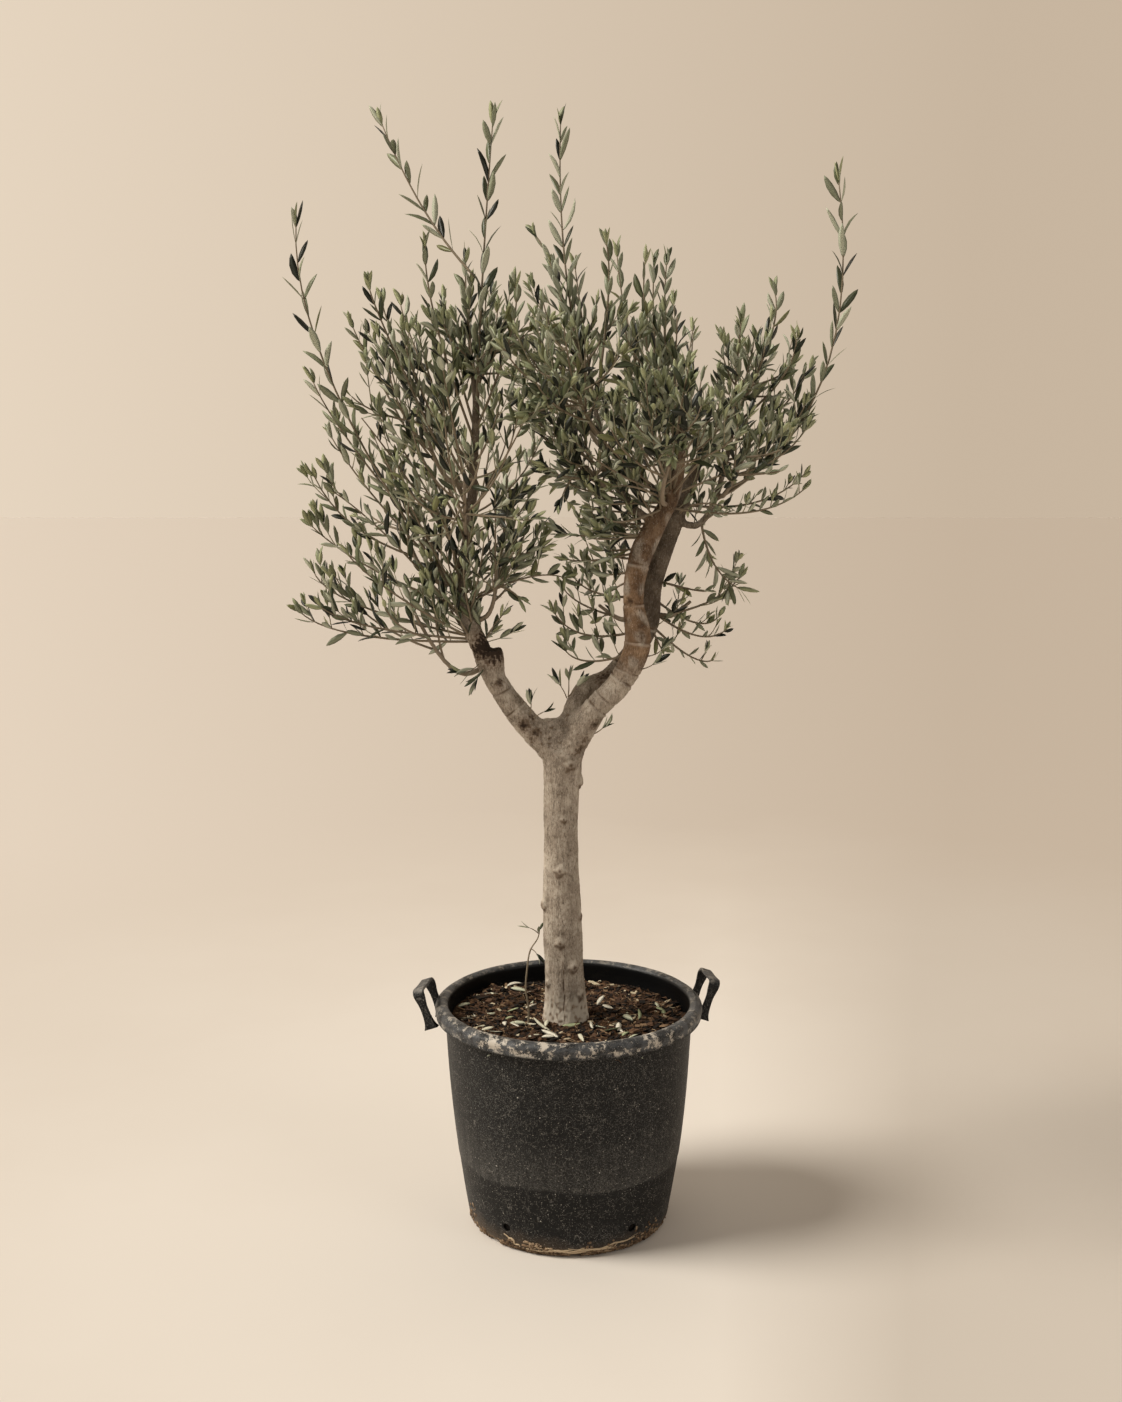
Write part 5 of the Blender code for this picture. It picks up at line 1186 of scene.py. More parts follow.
# Each rod: its mass, where its leaves end, the limb it leaves (none: its mass's stem; or a place),
# the share along it, the (x, z) it heads for before it bends to its tip, and its habit.
RODS = (
    ("left_lower", (-0.512, -0.040, 1.182), "bough_left_upper", 0.04, (-0.430, 1.098), "skirt"),
    ("left_lower", (-0.470, 0.050, 1.262), "bough_left_upper", 0.06, (-0.440, 1.165), "skirt"),
    ("left_lower", (-0.490, 0.010, 1.338), "bough_left_upper", 0.20, (-0.375, 1.225), "skirt"),
    ("left_lower", (-0.420, -0.150, 1.285), "bough_left_upper", 0.04, (-0.340, 1.190), "skirt"),
    ("left_middle", (-0.452, -0.050, 1.392), "bough_left_upper", 0.06, (-0.315, 1.300), "skirt"),
    ("left_middle", (-0.440, 0.060, 1.500), "bough_left_upper", 0.28, (-0.370, 1.370), "skirt"),
    ("left_upper", (-0.474, -0.090, 1.872), "bough_left_upper", 0.22, (-0.494, 1.600), "leader"),
    ("left_upper", (-0.393, 0.100, 1.690), "bough_left_upper", 0.50, (-0.358, 1.600), "rod"),
    ("left_upper", (-0.351, -0.120, 1.752), "bough_left_upper", 0.60, (-0.350, 1.700), "rod"),
    ("left_upper", (-0.300, 0.140, 1.725), "bough_left_upper", 0.75, (-0.290, 1.650), "rod"),
    ("left_top", (-0.336, 0.110, 2.032), (-0.163, -0.027, 1.743), 0.00, (-0.258, 1.838), "leader"),
    ("left_top", (-0.130, -0.060, 2.039), "bough_left_upper", 1.00, (-0.154, 1.760), "leader"),
    ("left_top", (-0.252, -0.120, 1.832), "bough_left_upper", 0.90, (-0.255, 1.690), "rod"),
    ("left_top", (-0.225, 0.130, 1.730), "bough_left_upper", 0.95, (-0.215, 1.640), "rod"),
    ("left_top", (-0.104, -0.090, 1.765), "bough_left_upper", 0.95, (-0.080, 1.670), "rod"),
    ("left_top", (-0.145, 0.060, 1.740), "bough_left_upper", 1.00, (-0.150, 1.650), "rod"),
    ("left_inner", (0.025, 0.030, 1.205), "bough_left_upper", 0.20, (-0.070, 1.240), "skirt"),
    ("left_inner", (-0.098, -0.030, 1.177), "bough_left_upper", 0.00, (-0.150, 1.115), "spray"),
    ("left_inner", (-0.115, 0.030, 1.150), "bough_left_upper", 0.03, (-0.150, 1.105), "spray"),
    ("left_inner", (-0.090, 0.040, 1.360), "bough_left_upper", 0.25, (-0.110, 1.230), "spray"),
    ("left_inner", (-0.210, -0.060, 1.200), "bough_left_upper", 0.02, (-0.200, 1.130), "skirt"),
    ("left_inner", (-0.190, -0.075, 1.270), "bough_left_upper", 0.06, (-0.190, 1.180), "spray"),
    ("left_inner", (-0.225, -0.050, 1.305), "bough_left_upper", 0.12, (-0.215, 1.210), "spray"),
    ("left_inner", (-0.150, -0.090, 1.315), "bough_left_upper", 0.14, (-0.160, 1.220), "spray"),
    ("left_inner", (-0.235, 0.050, 1.245), "bough_left_upper", 0.02, (-0.220, 1.145), "spray"),
    ("left_inner", (-0.175, -0.085, 1.360), "bough_left_upper", 0.28, (-0.180, 1.270), "spray"),
    ("left_inner", (-0.045, 0.030, 1.330), "bough_left_upper", 0.22, (-0.080, 1.220), "spray"),
    ("left_middle", (-0.360, 0.040, 1.500), "bough_left_upper", 0.22, (-0.290, 1.330), "spray"),
    ("left_middle", (-0.345, -0.080, 1.460), "bough_left_upper", 0.20, (-0.270, 1.320), "spray"),
    ("left_upper", (-0.300, -0.060, 1.690), "bough_left_upper", 0.70, (-0.280, 1.560), "spray"),
    ("left_upper", (-0.270, 0.060, 1.680), "bough_left_upper", 0.70, (-0.250, 1.560), "spray"),
    ("left_front", (-0.230, -0.400, 1.640), None, 1.00, (-0.215, 1.520), "rod"),
    ("left_back", (-0.240, 0.410, 1.640), None, 1.00, (-0.225, 1.520), "rod"),
    ("centre_top", (-0.015, 0.090, 2.036), "bough_crown_centre", 1.00, (-0.024, 1.720), "leader"),
    ("centre_top", (-0.078, 0.090, 1.838), "bough_crown_centre", 0.85, (-0.020, 1.770), "rod"),
    ("centre_top", (0.055, -0.080, 1.838), "bough_crown_centre", 1.00, (0.080, 1.740), "rod"),
    ("centre_top", (0.006, 0.130, 1.790), "bough_crown_centre", 0.95, (0.020, 1.680), "rod"),
    ("centre_top", (-0.040, 0.060, 1.790), "bough_crown_centre", 0.90, (-0.010, 1.690), "rod"),
    ("centre_hanging", (-0.046, 0.040, 1.186), "bough_right_upper", 0.08, (0.010, 1.090), "skirt"),
    ("centre_hanging", (-0.030, -0.020, 1.118), "bough_right_lower", 0.90, (0.020, 1.045), "skirt"),
    ("centre_hanging", (-0.010, 0.080, 1.250), "bough_right_upper", 0.30, (0.030, 1.180), "skirt"),
    ("centre_lower", (0.010, -0.060, 1.300), "bough_right_upper", 0.70, (0.050, 1.285), "skirt"),
    ("centre_lower", (0.035, 0.050, 1.270), "bough_right_upper", 0.62, (0.070, 1.265), "skirt"),
    ("centre_lower", (0.020, 0.100, 1.335), "bough_right_upper", 0.80, (0.060, 1.310), "skirt"),
    ("centre_lower", (0.050, -0.100, 1.345), "bough_right_upper", 0.95, (0.080, 1.350), "skirt"),
    ("centre_lower", (0.055, -0.010, 1.215), "bough_right_upper", 0.42, (0.080, 1.200), "spray"),
    ("centre_lower", (0.060, 0.030, 1.290), "bough_right_upper", 0.55, (0.080, 1.250), "spray"),
    ("centre_lower", (0.030, 0.040, 1.250), "bough_right_upper", 0.48, (0.070, 1.215), "spray"),
    ("centre_lower", (-0.030, 0.020, 1.400), "bough_right_upper", 0.90, (0.030, 1.370), "spray"),
    ("centre_lower", (-0.045, -0.020, 1.300), "bough_right_upper", 0.72, (0.030, 1.290), "spray"),
    ("centre_lower", (-0.035, 0.050, 1.260), "bough_right_upper", 0.60, (0.030, 1.240), "spray"),
    ("centre_top", (-0.125, 0.030, 1.700), "bough_crown_centre", 0.75, (-0.060, 1.580), "spray"),
    ("centre_top", (-0.120, -0.050, 1.560), "bough_crown_centre", 0.50, (-0.050, 1.480), "spray"),
    ("centre_lower", (-0.070, -0.040, 1.500), "bough_crown_centre", 0.30, (0.010, 1.400), "spray"),
    ("centre_lower", (-0.085, 0.050, 1.560), "bough_crown_centre", 0.45, (-0.010, 1.460), "spray"),
    ("centre_lower", (0.045, -0.080, 1.300), "bough_right_upper", 0.70, (0.070, 1.300), "spray"),
    ("centre_lower", (0.065, 0.080, 1.320), "bough_right_upper", 0.75, (0.090, 1.310), "spray"),
    ("centre_lower", (0.005, -0.020, 1.340), "bough_right_upper", 0.85, (0.050, 1.340), "spray"),
    ("right_top", (0.135, -0.090, 1.808), "bough_right_upper", 1.00, (0.120, 1.640), "rod"),
    ("right_top", (0.172, 0.090, 1.802), "bough_right_upper", 1.00, (0.160, 1.640), "rod"),
    ("right_top", (0.178, -0.060, 1.650), "bough_right_upper", 0.95, (0.190, 1.540), "rod"),
    ("right_top", (0.080, 0.050, 1.818), "bough_right_upper", 1.00, (0.095, 1.640), "rod"),
    ("right_side", (0.462, -0.050, 1.942), "bough_crown_right", 0.40, (0.528, 1.500), "leader"),
    ("right_side", (0.350, 0.080, 1.750), "bough_crown_right", 1.00, (0.378, 1.660), "rod"),
    ("right_side", (0.304, -0.100, 1.700), "bough_crown_right", 0.95, (0.295, 1.590), "rod"),
    ("right_side", (0.400, -0.110, 1.672), "bough_crown_right", 0.95, (0.400, 1.570), "rod"),
    ("right_side", (0.262, 0.100, 1.602), "bough_crown_right", 0.85, (0.262, 1.530), "spray"),
    ("right_side", (0.425, 0.020, 1.610), "bough_crown_right", 0.80, (0.390, 1.510), "spray"),
    ("right_side", (0.430, -0.040, 1.560), "bough_crown_right", 0.70, (0.390, 1.450), "spray"),
    ("right_middle", (0.412, -0.060, 1.466), "bough_right_upper", 1.00, (0.320, 1.420), "skirt"),
    ("right_middle", (0.448, -0.030, 1.402), "bough_right_upper", 0.92, (0.345, 1.308), "comb"),
    ("right_middle", (0.442, 0.050, 1.428), "bough_middle_upper", 0.98, (0.350, 1.328), "comb"),
    ("right_middle", (0.440, 0.000, 1.530), "bough_crown_right", 0.40, (0.360, 1.420), "skirt"),
    ("right_middle", (0.340, -0.020, 1.181), "bough_crown_right", 0.22, (0.250, 1.225), "hang"),
    ("right_middle", (0.270, -0.070, 1.360), "bough_crown_right", 0.25, (0.260, 1.330), "spray"),
    ("right_middle", (0.250, 0.070, 1.340), "bough_crown_right", 0.15, (0.230, 1.310), "spray"),
    ("right_lower", (0.275, -0.030, 1.200), "bough_middle_upper", 0.38, (0.235, 1.190), "comb"),
    ("right_lower", (0.292, 0.060, 1.176), "bough_middle_upper", 0.25, (0.240, 1.108), "comb"),
    ("right_lower", (0.310, -0.010, 1.146), "bough_middle_upper", 0.15, (0.240, 1.085), "comb"),
    ("right_lower", (0.293, 0.040, 1.086), "bough_middle_upper", 0.05, (0.230, 1.050), "comb"),
    ("right_lower", (0.185, -0.010, 1.110), "bough_middle_upper", 0.06, (0.165, 1.085), "spray"),
    ("right_front", (0.215, -0.405, 1.610), None, 1.00, (0.200, 1.540), "rod"),
    ("right_top", (0.150, 0.020, 1.800), "bough_right_upper", 1.00, (0.140, 1.640), "rod"),
    ("right_side", (0.328, 0.030, 1.675), "bough_crown_right", 1.00, (0.322, 1.600), "rod"),
    ("left_upper", (-0.330, 0.000, 1.735), "bough_left_upper", 0.62, (-0.325, 1.660), "rod"),
    ("left_upper", (-0.468, 0.020, 1.600), "bough_left_upper", 0.34, (-0.410, 1.460), "rod"),
    ("left_middle", (-0.392, -0.030, 1.530), "bough_left_upper", 0.40, (-0.310, 1.430), "spray"),
    ("left_inner", (-0.010, 0.000, 1.278), "bough_left_upper", 0.30, (-0.090, 1.262), "skirt"),
    ("left_lower", (-0.475, -0.060, 1.190), "bough_left_upper", 0.05, (-0.400, 1.120), "skirt"),
    ("left_inner", (-0.055, 0.020, 1.395), "bough_left_upper", 0.30, (-0.110, 1.290), "spray"),
    ("left_inner", (-0.105, 0.050, 1.500), "bough_left_upper", 0.60, (-0.120, 1.420), "spray"),
    ("left_middle", (-0.350, -0.020, 1.530), "bough_left_upper", 0.40, (-0.270, 1.410), "spray"),
    ("left_top", (-0.180, 0.060, 1.808), "bough_left_upper", 1.00, (-0.185, 1.700), "rod"),
    ("right_front", (0.090, -0.160, 1.540), "bough_right_upper", 0.90, (0.100, 1.430), "spray"),
    ("right_front", (0.120, -0.120, 1.420), "bough_right_upper", 0.80, (0.120, 1.370), "spray"),
    ("right_front", (0.160, -0.100, 1.400), "bough_right_upper", 0.86, (0.160, 1.360), "spray"),
    ("left_front", (-0.120, -0.120, 1.560), "bough_left_upper", 0.80, (-0.130, 1.480), "spray"),
    ("left_front", (-0.235, -0.110, 1.380), "bough_left_upper", 0.35, (-0.220, 1.300), "spray"),
    ("right_front", (0.063, -0.270, 1.550), "bough_right_upper", 1.00, (0.106, 1.482), "wand"),
    ("right_front", (-0.007, -0.260, 1.477), "bough_right_upper", 1.00, (0.075, 1.396), "wand"),
    ("right_front", (0.262, -0.270, 1.540), "bough_right_upper", 1.00, (0.162, 1.486), "wand"),
    ("right_front", (0.287, -0.260, 1.451), "bough_right_upper", 0.98, (0.242, 1.446), "wand"),
    ("right_front", (0.279, -0.240, 1.510), "bough_right_upper", 1.00, (0.212, 1.484), "wand"),
    ("right_front", (0.050, -0.220, 1.375), "bough_right_upper", 0.95, (0.122, 1.390), "wand"),
    ("right_front", (0.048, -0.220, 1.342), "bough_right_upper", 0.92, (0.088, 1.300), "wand"),
    ("right_front", (0.299, -0.200, 1.338), "bough_middle_upper", 0.90, (0.224, 1.362), "wand"),
    ("right_front", (0.142, -0.280, 1.589), "bough_right_upper", 1.00, (0.168, 1.520), "wand"),
    ("right_front", (0.016, -0.270, 1.566), "bough_right_upper", 0.98, (0.030, 1.462), "wand"),
    ("left_front", (-0.300, -0.200, 1.500), "bough_left_upper", 0.45, (-0.215, 1.420), "wand"),
    ("left_front", (-0.060, -0.220, 1.540), "bough_left_upper", 0.60, (-0.105, 1.440), "wand"),
    ("left_front", (-0.285, -0.180, 1.368), "bough_left_upper", 0.30, (-0.222, 1.350), "wand"),
    ("right_back", (0.220, 0.420, 1.680), None, 1.00, (0.205, 1.560), "rod"),
)
# Each habit: leaf pitch, leaf length, leaf angle, bare share, pitch of the side shoots, their
# shortest and longest reach, and how strongly they turn upwards.
HABITS = {
    "leader": (0.031, 0.056, 28.0, 0.14, 9.000, 0.030, 0.040, 0.2),
    "rod": (0.029, 0.045, 31.0, 0.20, 0.070, 0.034, 0.062, 0.6),
    "skirt": (0.030, 0.043, 46.0, 0.16, 0.040, 0.034, 0.078, 1.3),
    "comb": (0.021, 0.030, 54.0, 0.12, 0.050, 0.016, 0.034, 1.3),
    "spray": (0.023, 0.040, 38.0, 0.30, 0.043, 0.048, 0.112, 0.6),
    "hang": (0.018, 0.047, 50.0, 0.08, 0.090, 0.020, 0.040, -0.3),
    "wand": (0.022, 0.036, 40.0, 0.72, 9.000, 0.030, 0.040, 0.4),
}
SHOOTS_UNTIL = {"leader": 0.0, "wand": 0.0, "rod": 0.60}
# Sky between the sprays: middle (x, z), half width, half height, and the share of shoots that stay.
SKY_WINDOWS = ((-0.330, 1.230, 0.060, 0.080, 0.65), (-0.260, 1.420, 0.160, 0.170, 0.52),
               (-0.120, 1.270, 0.050, 0.090, 0.60), (-0.380, 1.560, 0.040, 0.050, 0.50), (-0.280, 1.120, 0.110, 0.060, 0.30),
               (-0.125, 1.410, 0.022, 0.050, 0.35), (0.360, 1.425, 0.050, 0.026, 0.40),
               (0.225, 1.680, 0.040, 0.085, 0.15), (0.080, 1.630, 0.100, 0.050, 0.70),
               (-0.030, 1.755, 0.200, 0.060, 0.45), (0.210, 1.200, 0.040, 0.030, 0.50),
               (-0.060, 1.140, 0.040, 0.060, 0.30), (0.030, 1.140, 0.045, 0.055, 0.60),
               (-0.430, 1.480, 0.040, 0.050, 0.70), (0.450, 1.470, 0.030, 0.060, 0.30))
CROWN_SEED, STEM_REACH, BRANCH_SHORT, TIP_ROOM = 11, 0.72, 0.025, 0.036
SKY_OUTWARD, SKY_PULL, LEAF_TWIST, SHOOT_SCATTER = 0.9, 0.65, 0.90, 0.16
ROD_RADII = (0.0026, 0.0011)
OUTWARD_FIRST, UPWARD_FIRST = 0.75, 0.30
GOLDEN_ANGLE = math.pi * (3 - math.sqrt(5))
UP = np.array([0.0, 0.0, 1.0])
print(len(MASSES), "masses,", len(RODS), "rods,", len(HABITS), "habits")


# %% The leaf pairs of a twig
def stays(points):
    """The share of shoots that stay at each point. Sky shows along lines of sight, so a point
    counts where the line from the eye through it meets the trunk's plane y = 0."""
    eye = np.array(CAMERA_PLACE)
    seen = eye + (points - eye) * (-eye[1] / (points[:, 1:2] - eye[1]))
    share = np.ones(len(points))
    for x, z, wide, high, left in SKY_WINDOWS:
        away = np.hypot((seen[:, 0] - x) / wide, (seen[:, 2] - z) / high)
        share = np.minimum(share, left + (1 - left) * fade(away, 0.85, 1.15))
    return share


class Growth:
    """What has grown so far: twigs as rows of (x, y, z, radius), and for each leaf its root, the
    way it points, the way its upper side faces, its length, its spray's lot and its youth."""

    def __init__(self):
        self.twigs, self.roots, self.ways, self.faces = [], [], [], []
        self.lengths, self.lots, self.youths = [], [], []

    def set_leaves(self, line, draw, bare, pitch, size, angle, lot, lift, airy=False):
        """Opposite leaf pairs from the tip back to the bare share. Pairs crowd together at the
        tip, where the youngest leaves are also shorter and stand more upright."""
        along = lengths_along(line)
        steps = 0.006 + np.cumsum(np.minimum(pitch, 0.012 + 0.5 * pitch * np.arange(1, 80)))
        s = along[-1] - 0.001 - np.concatenate([[0.0, 0.006], steps])
        s = s[s > bare * along[-1]]
        if not len(s):
            return
        spot = np.column_stack([np.interp(s, along, line[:, k]) for k in range(3)])
        slope = np.gradient(line, axis=0)
        way = unit(np.column_stack([np.interp(s, along, slope[:, k]) for k in range(3)]))
        side = unit(np.cross(way, (0.23, 0.11, 1.0)) + 1e-6)
        turn = (draw.uniform(0, math.pi) + np.arange(len(s)) * math.pi / 2 + draw.normal(0, 0.25, len(s)))[:, None]
        side = side * np.cos(turn) + np.cross(way, side) * np.sin(turn)
        youth = np.exp(-(along[-1] - s) / 0.030)
        for sign in (1.0, -1.0):
            count = len(s)
            keep = draw.uniform(0, 1, count) < 0.94
            if airy:
                keep &= draw.uniform(0, 1, count) < stays(spot)
            tilt = (np.radians(angle * (1 - 0.55 * youth)) * draw.uniform(0.75, 1.25, count))[:, None]
            out = side * sign
            leaf_way = way * np.cos(tilt) + out * np.sin(tilt)
            leaf_way = unit(leaf_way + UP * (lift * draw.uniform(0.1, 0.6, count))[:, None])
            face = way * np.sin(tilt) - out * np.cos(tilt)
            sky = unit(spot * (1.0, 1.0, 0.0)) * SKY_OUTWARD + UP
            face = unit(face + sky * SKY_PULL)
            face = unit(face - leaf_way * (face * leaf_way).sum(axis=1)[:, None])
            twist = draw.normal(0, LEAF_TWIST, count)[:, None]
            face = face * np.cos(twist) + np.cross(leaf_way, face) * np.sin(twist)
            self.roots.append(spot[keep])
            self.ways.append(leaf_way[keep])
            self.faces.append(face[keep])
            self.lengths.append((size * (1 - 0.30 * youth) * draw.uniform(0.78, 1.15, count))[keep])
            self.lots.append(np.full(count, lot)[keep])
            self.youths.append(youth[keep])

    def branch(self, line, draw, radii, habit):
        """A twig with its leaves, and side shoots from its bare share on, each turned a quarter
        from the one before and bent upwards by the habit's lift."""
        pitch, size, angle, bare, side_pitch, low, high, lift = HABITS[habit]
        self.twigs.append(np.column_stack([line, np.linspace(radii[0], radii[1], len(line))]))
        lot = draw.uniform()
        self.set_leaves(line, draw, bare, pitch, size, angle, lot, min(lift, 1.2) * 0.8, habit == "spray")
        along = lengths_along(line)
        total = along[-1]
        turn = draw.uniform(0, math.tau)
        for s in np.arange(bare * total, SHOOTS_UNTIL.get(habit, 0.93) * total, side_pitch):
            s = s + draw.uniform(-0.3, 0.3) * side_pitch
            spot = np.array([np.interp(s, along, line[:, k]) for k in range(3)])
            k = min(max(int(np.searchsorted(along, s)), 1), len(line) - 1)
            way = unit(line[k] - line[k - 1])
            side = unit(np.cross(way, (0.2, 0.1, 1.0)))
            side = side * math.cos(turn) + np.cross(way, side) * math.sin(turn)
            turn += math.pi / 2 + draw.normal(0, 0.3) + (math.pi if draw.uniform() < 0.5 else 0.0)
            reach = draw.uniform(low, high) * (1.25 - 0.6 * s / total)
            out = unit(way * 0.55 + side * 0.65 + UP * lift * 0.6 + draw.normal(0, SHOOT_SCATTER, 3))
            end = spot + (out * 0.85 + UP * 0.30 * lift) * reach
            if draw.uniform() > stays(end[None])[0]:
                continue
            shoot = bend_line(spot, spot + out * reach * 0.55, end, 4)
            self.twigs.append(np.column_stack([shoot, np.linspace(radii[1] * 1.1, 0.0009, 5)]))
            self.set_leaves(shoot, draw, 0.25, 0.021, size * 0.95, 36.0, lot, max(lift, 0.0) * 0.4)

    def gather(self):
        """Everything about the leaves as whole arrays."""
        return (np.vstack(self.roots), np.vstack(self.ways), np.vstack(self.faces),
                np.concatenate(self.lengths), np.concatenate(self.lots), np.concatenate(self.youths))


# %% Grow a mass
def by_sight(x, depth, z):
    """The place at a depth y on the sight line that meets the trunk's plane y = 0 at (x, z)."""
    eye = np.array(CAMERA_PLACE)
    return eye + (np.array([x, 0.0, z]) - eye) * (depth - eye[1]) / -eye[1]


def grow_mass(growth, number, name):
    """The mass's stem, its rods, and its branches dealt over its outline by the golden angle."""
    carrier, share, centre, half, branches, dome = MASSES[name]
    draw = np.random.default_rng(CROWN_SEED + number)
    centre, half = np.array(centre), np.array(half)
    root, _ = at_share(limb_rows[carrier], share)
    hub = root[:3] + (centre - root[:3]) * STEM_REACH
    stem = side_line(limb_rows[carrier], share, hub, (0.0052, 0.0030))
    growth.twigs.append(stem)
    for owner, tip, limb, at, heads_for, habit in RODS:
        if "foliage_" + owner != name:
            continue
        if isinstance(limb, str):
            start = at_share(limb_rows[limb], at)[0][:3]
        else:
            start = stem[-1, :3] if limb is None else np.array(limb)
        guide = by_sight(heads_for[0], (start[1] + tip[1]) / 2, heads_for[1])
        tip = by_sight(*tip)
        end = tip - unit(tip - guide) * TIP_ROOM
        growth.branch(bend_line(start, guide, end, 14), draw, ROD_RADII, habit)
    own = stem[len(stem) // 2:, :3]
    turn = draw.uniform(0, math.tau)
    for i in range(branches):
        up = 1 - 2 * (i + 0.5) / branches
        flat = math.sqrt(1 - up * up)
        spot = np.array([math.cos(turn + GOLDEN_ANGLE * i) * flat, math.sin(turn + GOLDEN_ANGLE * i) * flat,
                         up * (dome if up > 0 else 1.0)])
        end = centre + (half - BRANCH_SHORT) * spot * draw.uniform(0.80, 1.0)
        start = own[i % len(own)]
        guide = start + (end - start) * (OUTWARD_FIRST, OUTWARD_FIRST, UPWARD_FIRST)
        growth.branch(bend_line(start, guide, end, 8), draw, (0.0024, 0.0012), "spray")


# %% [markdown]
# ## The leaf
# An olive leaf is a narrow lance, some four to five times as long as it is wide, leathery, with a
# pointed tip. Its upper side is a dull grey green; its underside is covered in silvery scales.
# With thousands of them, each may have only a few faces, so the blade is four cross-sections
# between a root and a tip, as a very thin lens: left edge, raised rib, right edge, and the rib
# below. Upper and lower faces take different plain colours, which is what makes an olive tree
# shimmer. All leaves are made at once by one array of (leaf, corner, axis).

# %% Leaf blades
LEAF_RATIO, LEAF_LENS, PLAIN_LENGTH = 0.252, 0.030, 0.040
STATIONS = np.array([0.12, 0.36, 0.64, 0.86])
HALF_WIDTHS = np.sin(math.pi * STATIONS ** 1.05) ** 0.72


def leaf_faces():
    """Faces of one leaf: corner 0 is its root, 1 + 4k + (0, 1, 2, 3) are the left edge, the rib
    above, the right edge and the rib below at station k, and 17 is its tip. Upper ones first."""
    upper, under = [], []
    for k in range(3):
        a, b = 1 + 4 * k, 5 + 4 * k
        upper += [(a, a + 1, b + 1, b), (a + 1, a + 2, b + 2, b + 1)]
        under += [(a, b, b + 3, a + 3), (a + 3, b + 3, b + 2, a + 2)]
    upper_ends = [(0, 2, 1), (0, 3, 2), (13, 14, 17), (14, 15, 17)]
    under_ends = [(0, 1, 4), (0, 4, 3), (13, 17, 16), (16, 17, 15)]
    return np.array(upper + under), np.array(upper_ends + under_ends)


def leaf_blades(roots, ways, faces, lengths, draw):
    """Corners of all leaves. In a leaf's own axes, across, along and up, a corner at share t is
    (w(t), t, fold |w| + belly t(1-t) - curl t^2 + half the lens), times the leaf's length. w(t) is
    sin(pi t^1.05)^0.72 times half the width, and the longer a leaf, the slimmer it is."""
    count = len(roots)
    slim = np.sqrt(PLAIN_LENGTH / lengths) * draw.uniform(0.82, 1.18, count)
    half_width = LEAF_RATIO / 2 * slim[:, None] * HALF_WIDTHS
    fold = draw.normal(0.12, 0.16, count)[:, None]
    curl = draw.normal(0.05, 0.07, count)
    belly = draw.normal(0.10, 0.10, count)
    swerve = draw.normal(0.0, 0.035, count)
    rib = belly[:, None] * STATIONS * (1 - STATIONS) - curl[:, None] * STATIONS ** 2
    lens = LEAF_LENS / 2 * HALF_WIDTHS[None]
    middle = swerve[:, None] * STATIONS * (1 - STATIONS) * 4
    edge = rib + fold * half_width
    local = np.zeros((count, 18, 3))
    for corner, (across, height) in enumerate(((middle - half_width, edge), (middle, rib + lens),
                                               (middle + half_width, edge), (middle, rib - lens))):
        local[:, 1 + corner:17:4, 0] = across
        local[:, 1 + corner:17:4, 1] = STATIONS
        local[:, 1 + corner:17:4, 2] = height
    local[:, 17, 1] = 1.0
    local[:, 17, 2] = -curl
    frames = np.stack([np.cross(ways, faces), ways, faces], axis=1)
    return roots[:, None] + np.einsum("nck,nkj->ncj", local * lengths[:, None, None], frames)


def leaf_piece(name, leaves, materials, kinds_upper, kinds_under, draw):
    """All leaves of a group as one mesh; each leaf has its own material above and below."""
    roots, ways, faces, lengths = leaves
    quads, tris = leaf_faces()
    points = leaf_blades(roots, ways, faces, lengths, draw).reshape(-1, 3)
    base = np.arange(len(roots))[:, None, None] * 18
    half = np.repeat(np.stack([kinds_upper, kinds_under], axis=1), 6, axis=1)
    ends = np.repeat(np.stack([kinds_upper, kinds_under], axis=1), 4, axis=1)
    return make_piece(name, points, [(base + quads).reshape(-1, 4), (base + tris).reshape(-1, 3)], materials,
                      np.concatenate([half.ravel(), ends.ravel()]))


# %% [markdown]
# ## Leaf colours
# One tree holds many greens. Most leaves are a deep or a middling grey green, some are olive, and
# those at the tips are young and yellower. The colours go by spray: each branch draws a lot that
# picks its green, and youth overrides it near the tip. Near the crown's cores many leaves take the
# darkest green, in part as old leaves and in part as painted shade. Plain colours, one material
# each, survive any export, where a pattern over a hundred thousand small faces would not.

# %% Leaf finishes and the crown's pieces
UPPER_GREENS = ((0.012, 0.016, 0.007), (0.048, 0.060, 0.025), (0.116, 0.133, 0.064), (0.250, 0.275, 0.168),
                (0.172, 0.176, 0.070), (0.280, 0.305, 0.172))
UNDER_GREENS = ((0.255, 0.272, 0.185), (0.460, 0.480, 0.365), (0.380, 0.400, 0.230))
GREEN_SHARES = (0.26, 0.50, 0.72, 0.89, 1.0)
CORES, CORE_SIZE = ((0.130, 0.0, 1.470), (-0.170, 0.0, 1.500), (-0.170, 0.0, 1.280)), (0.170, 0.180, 0.130)
TWIG_BROWNS = ((0.260, 0.210, 0.155), (0.220, 0.176, 0.122), (0.300, 0.268, 0.178))
leaf_finishes = plain_colours("leaf_upper", UPPER_GREENS, 0.42, 0.50) + plain_colours("leaf_under", UNDER_GREENS, 0.62)
twig_finishes = plain_colours("twig", TWIG_BROWNS, 0.75)


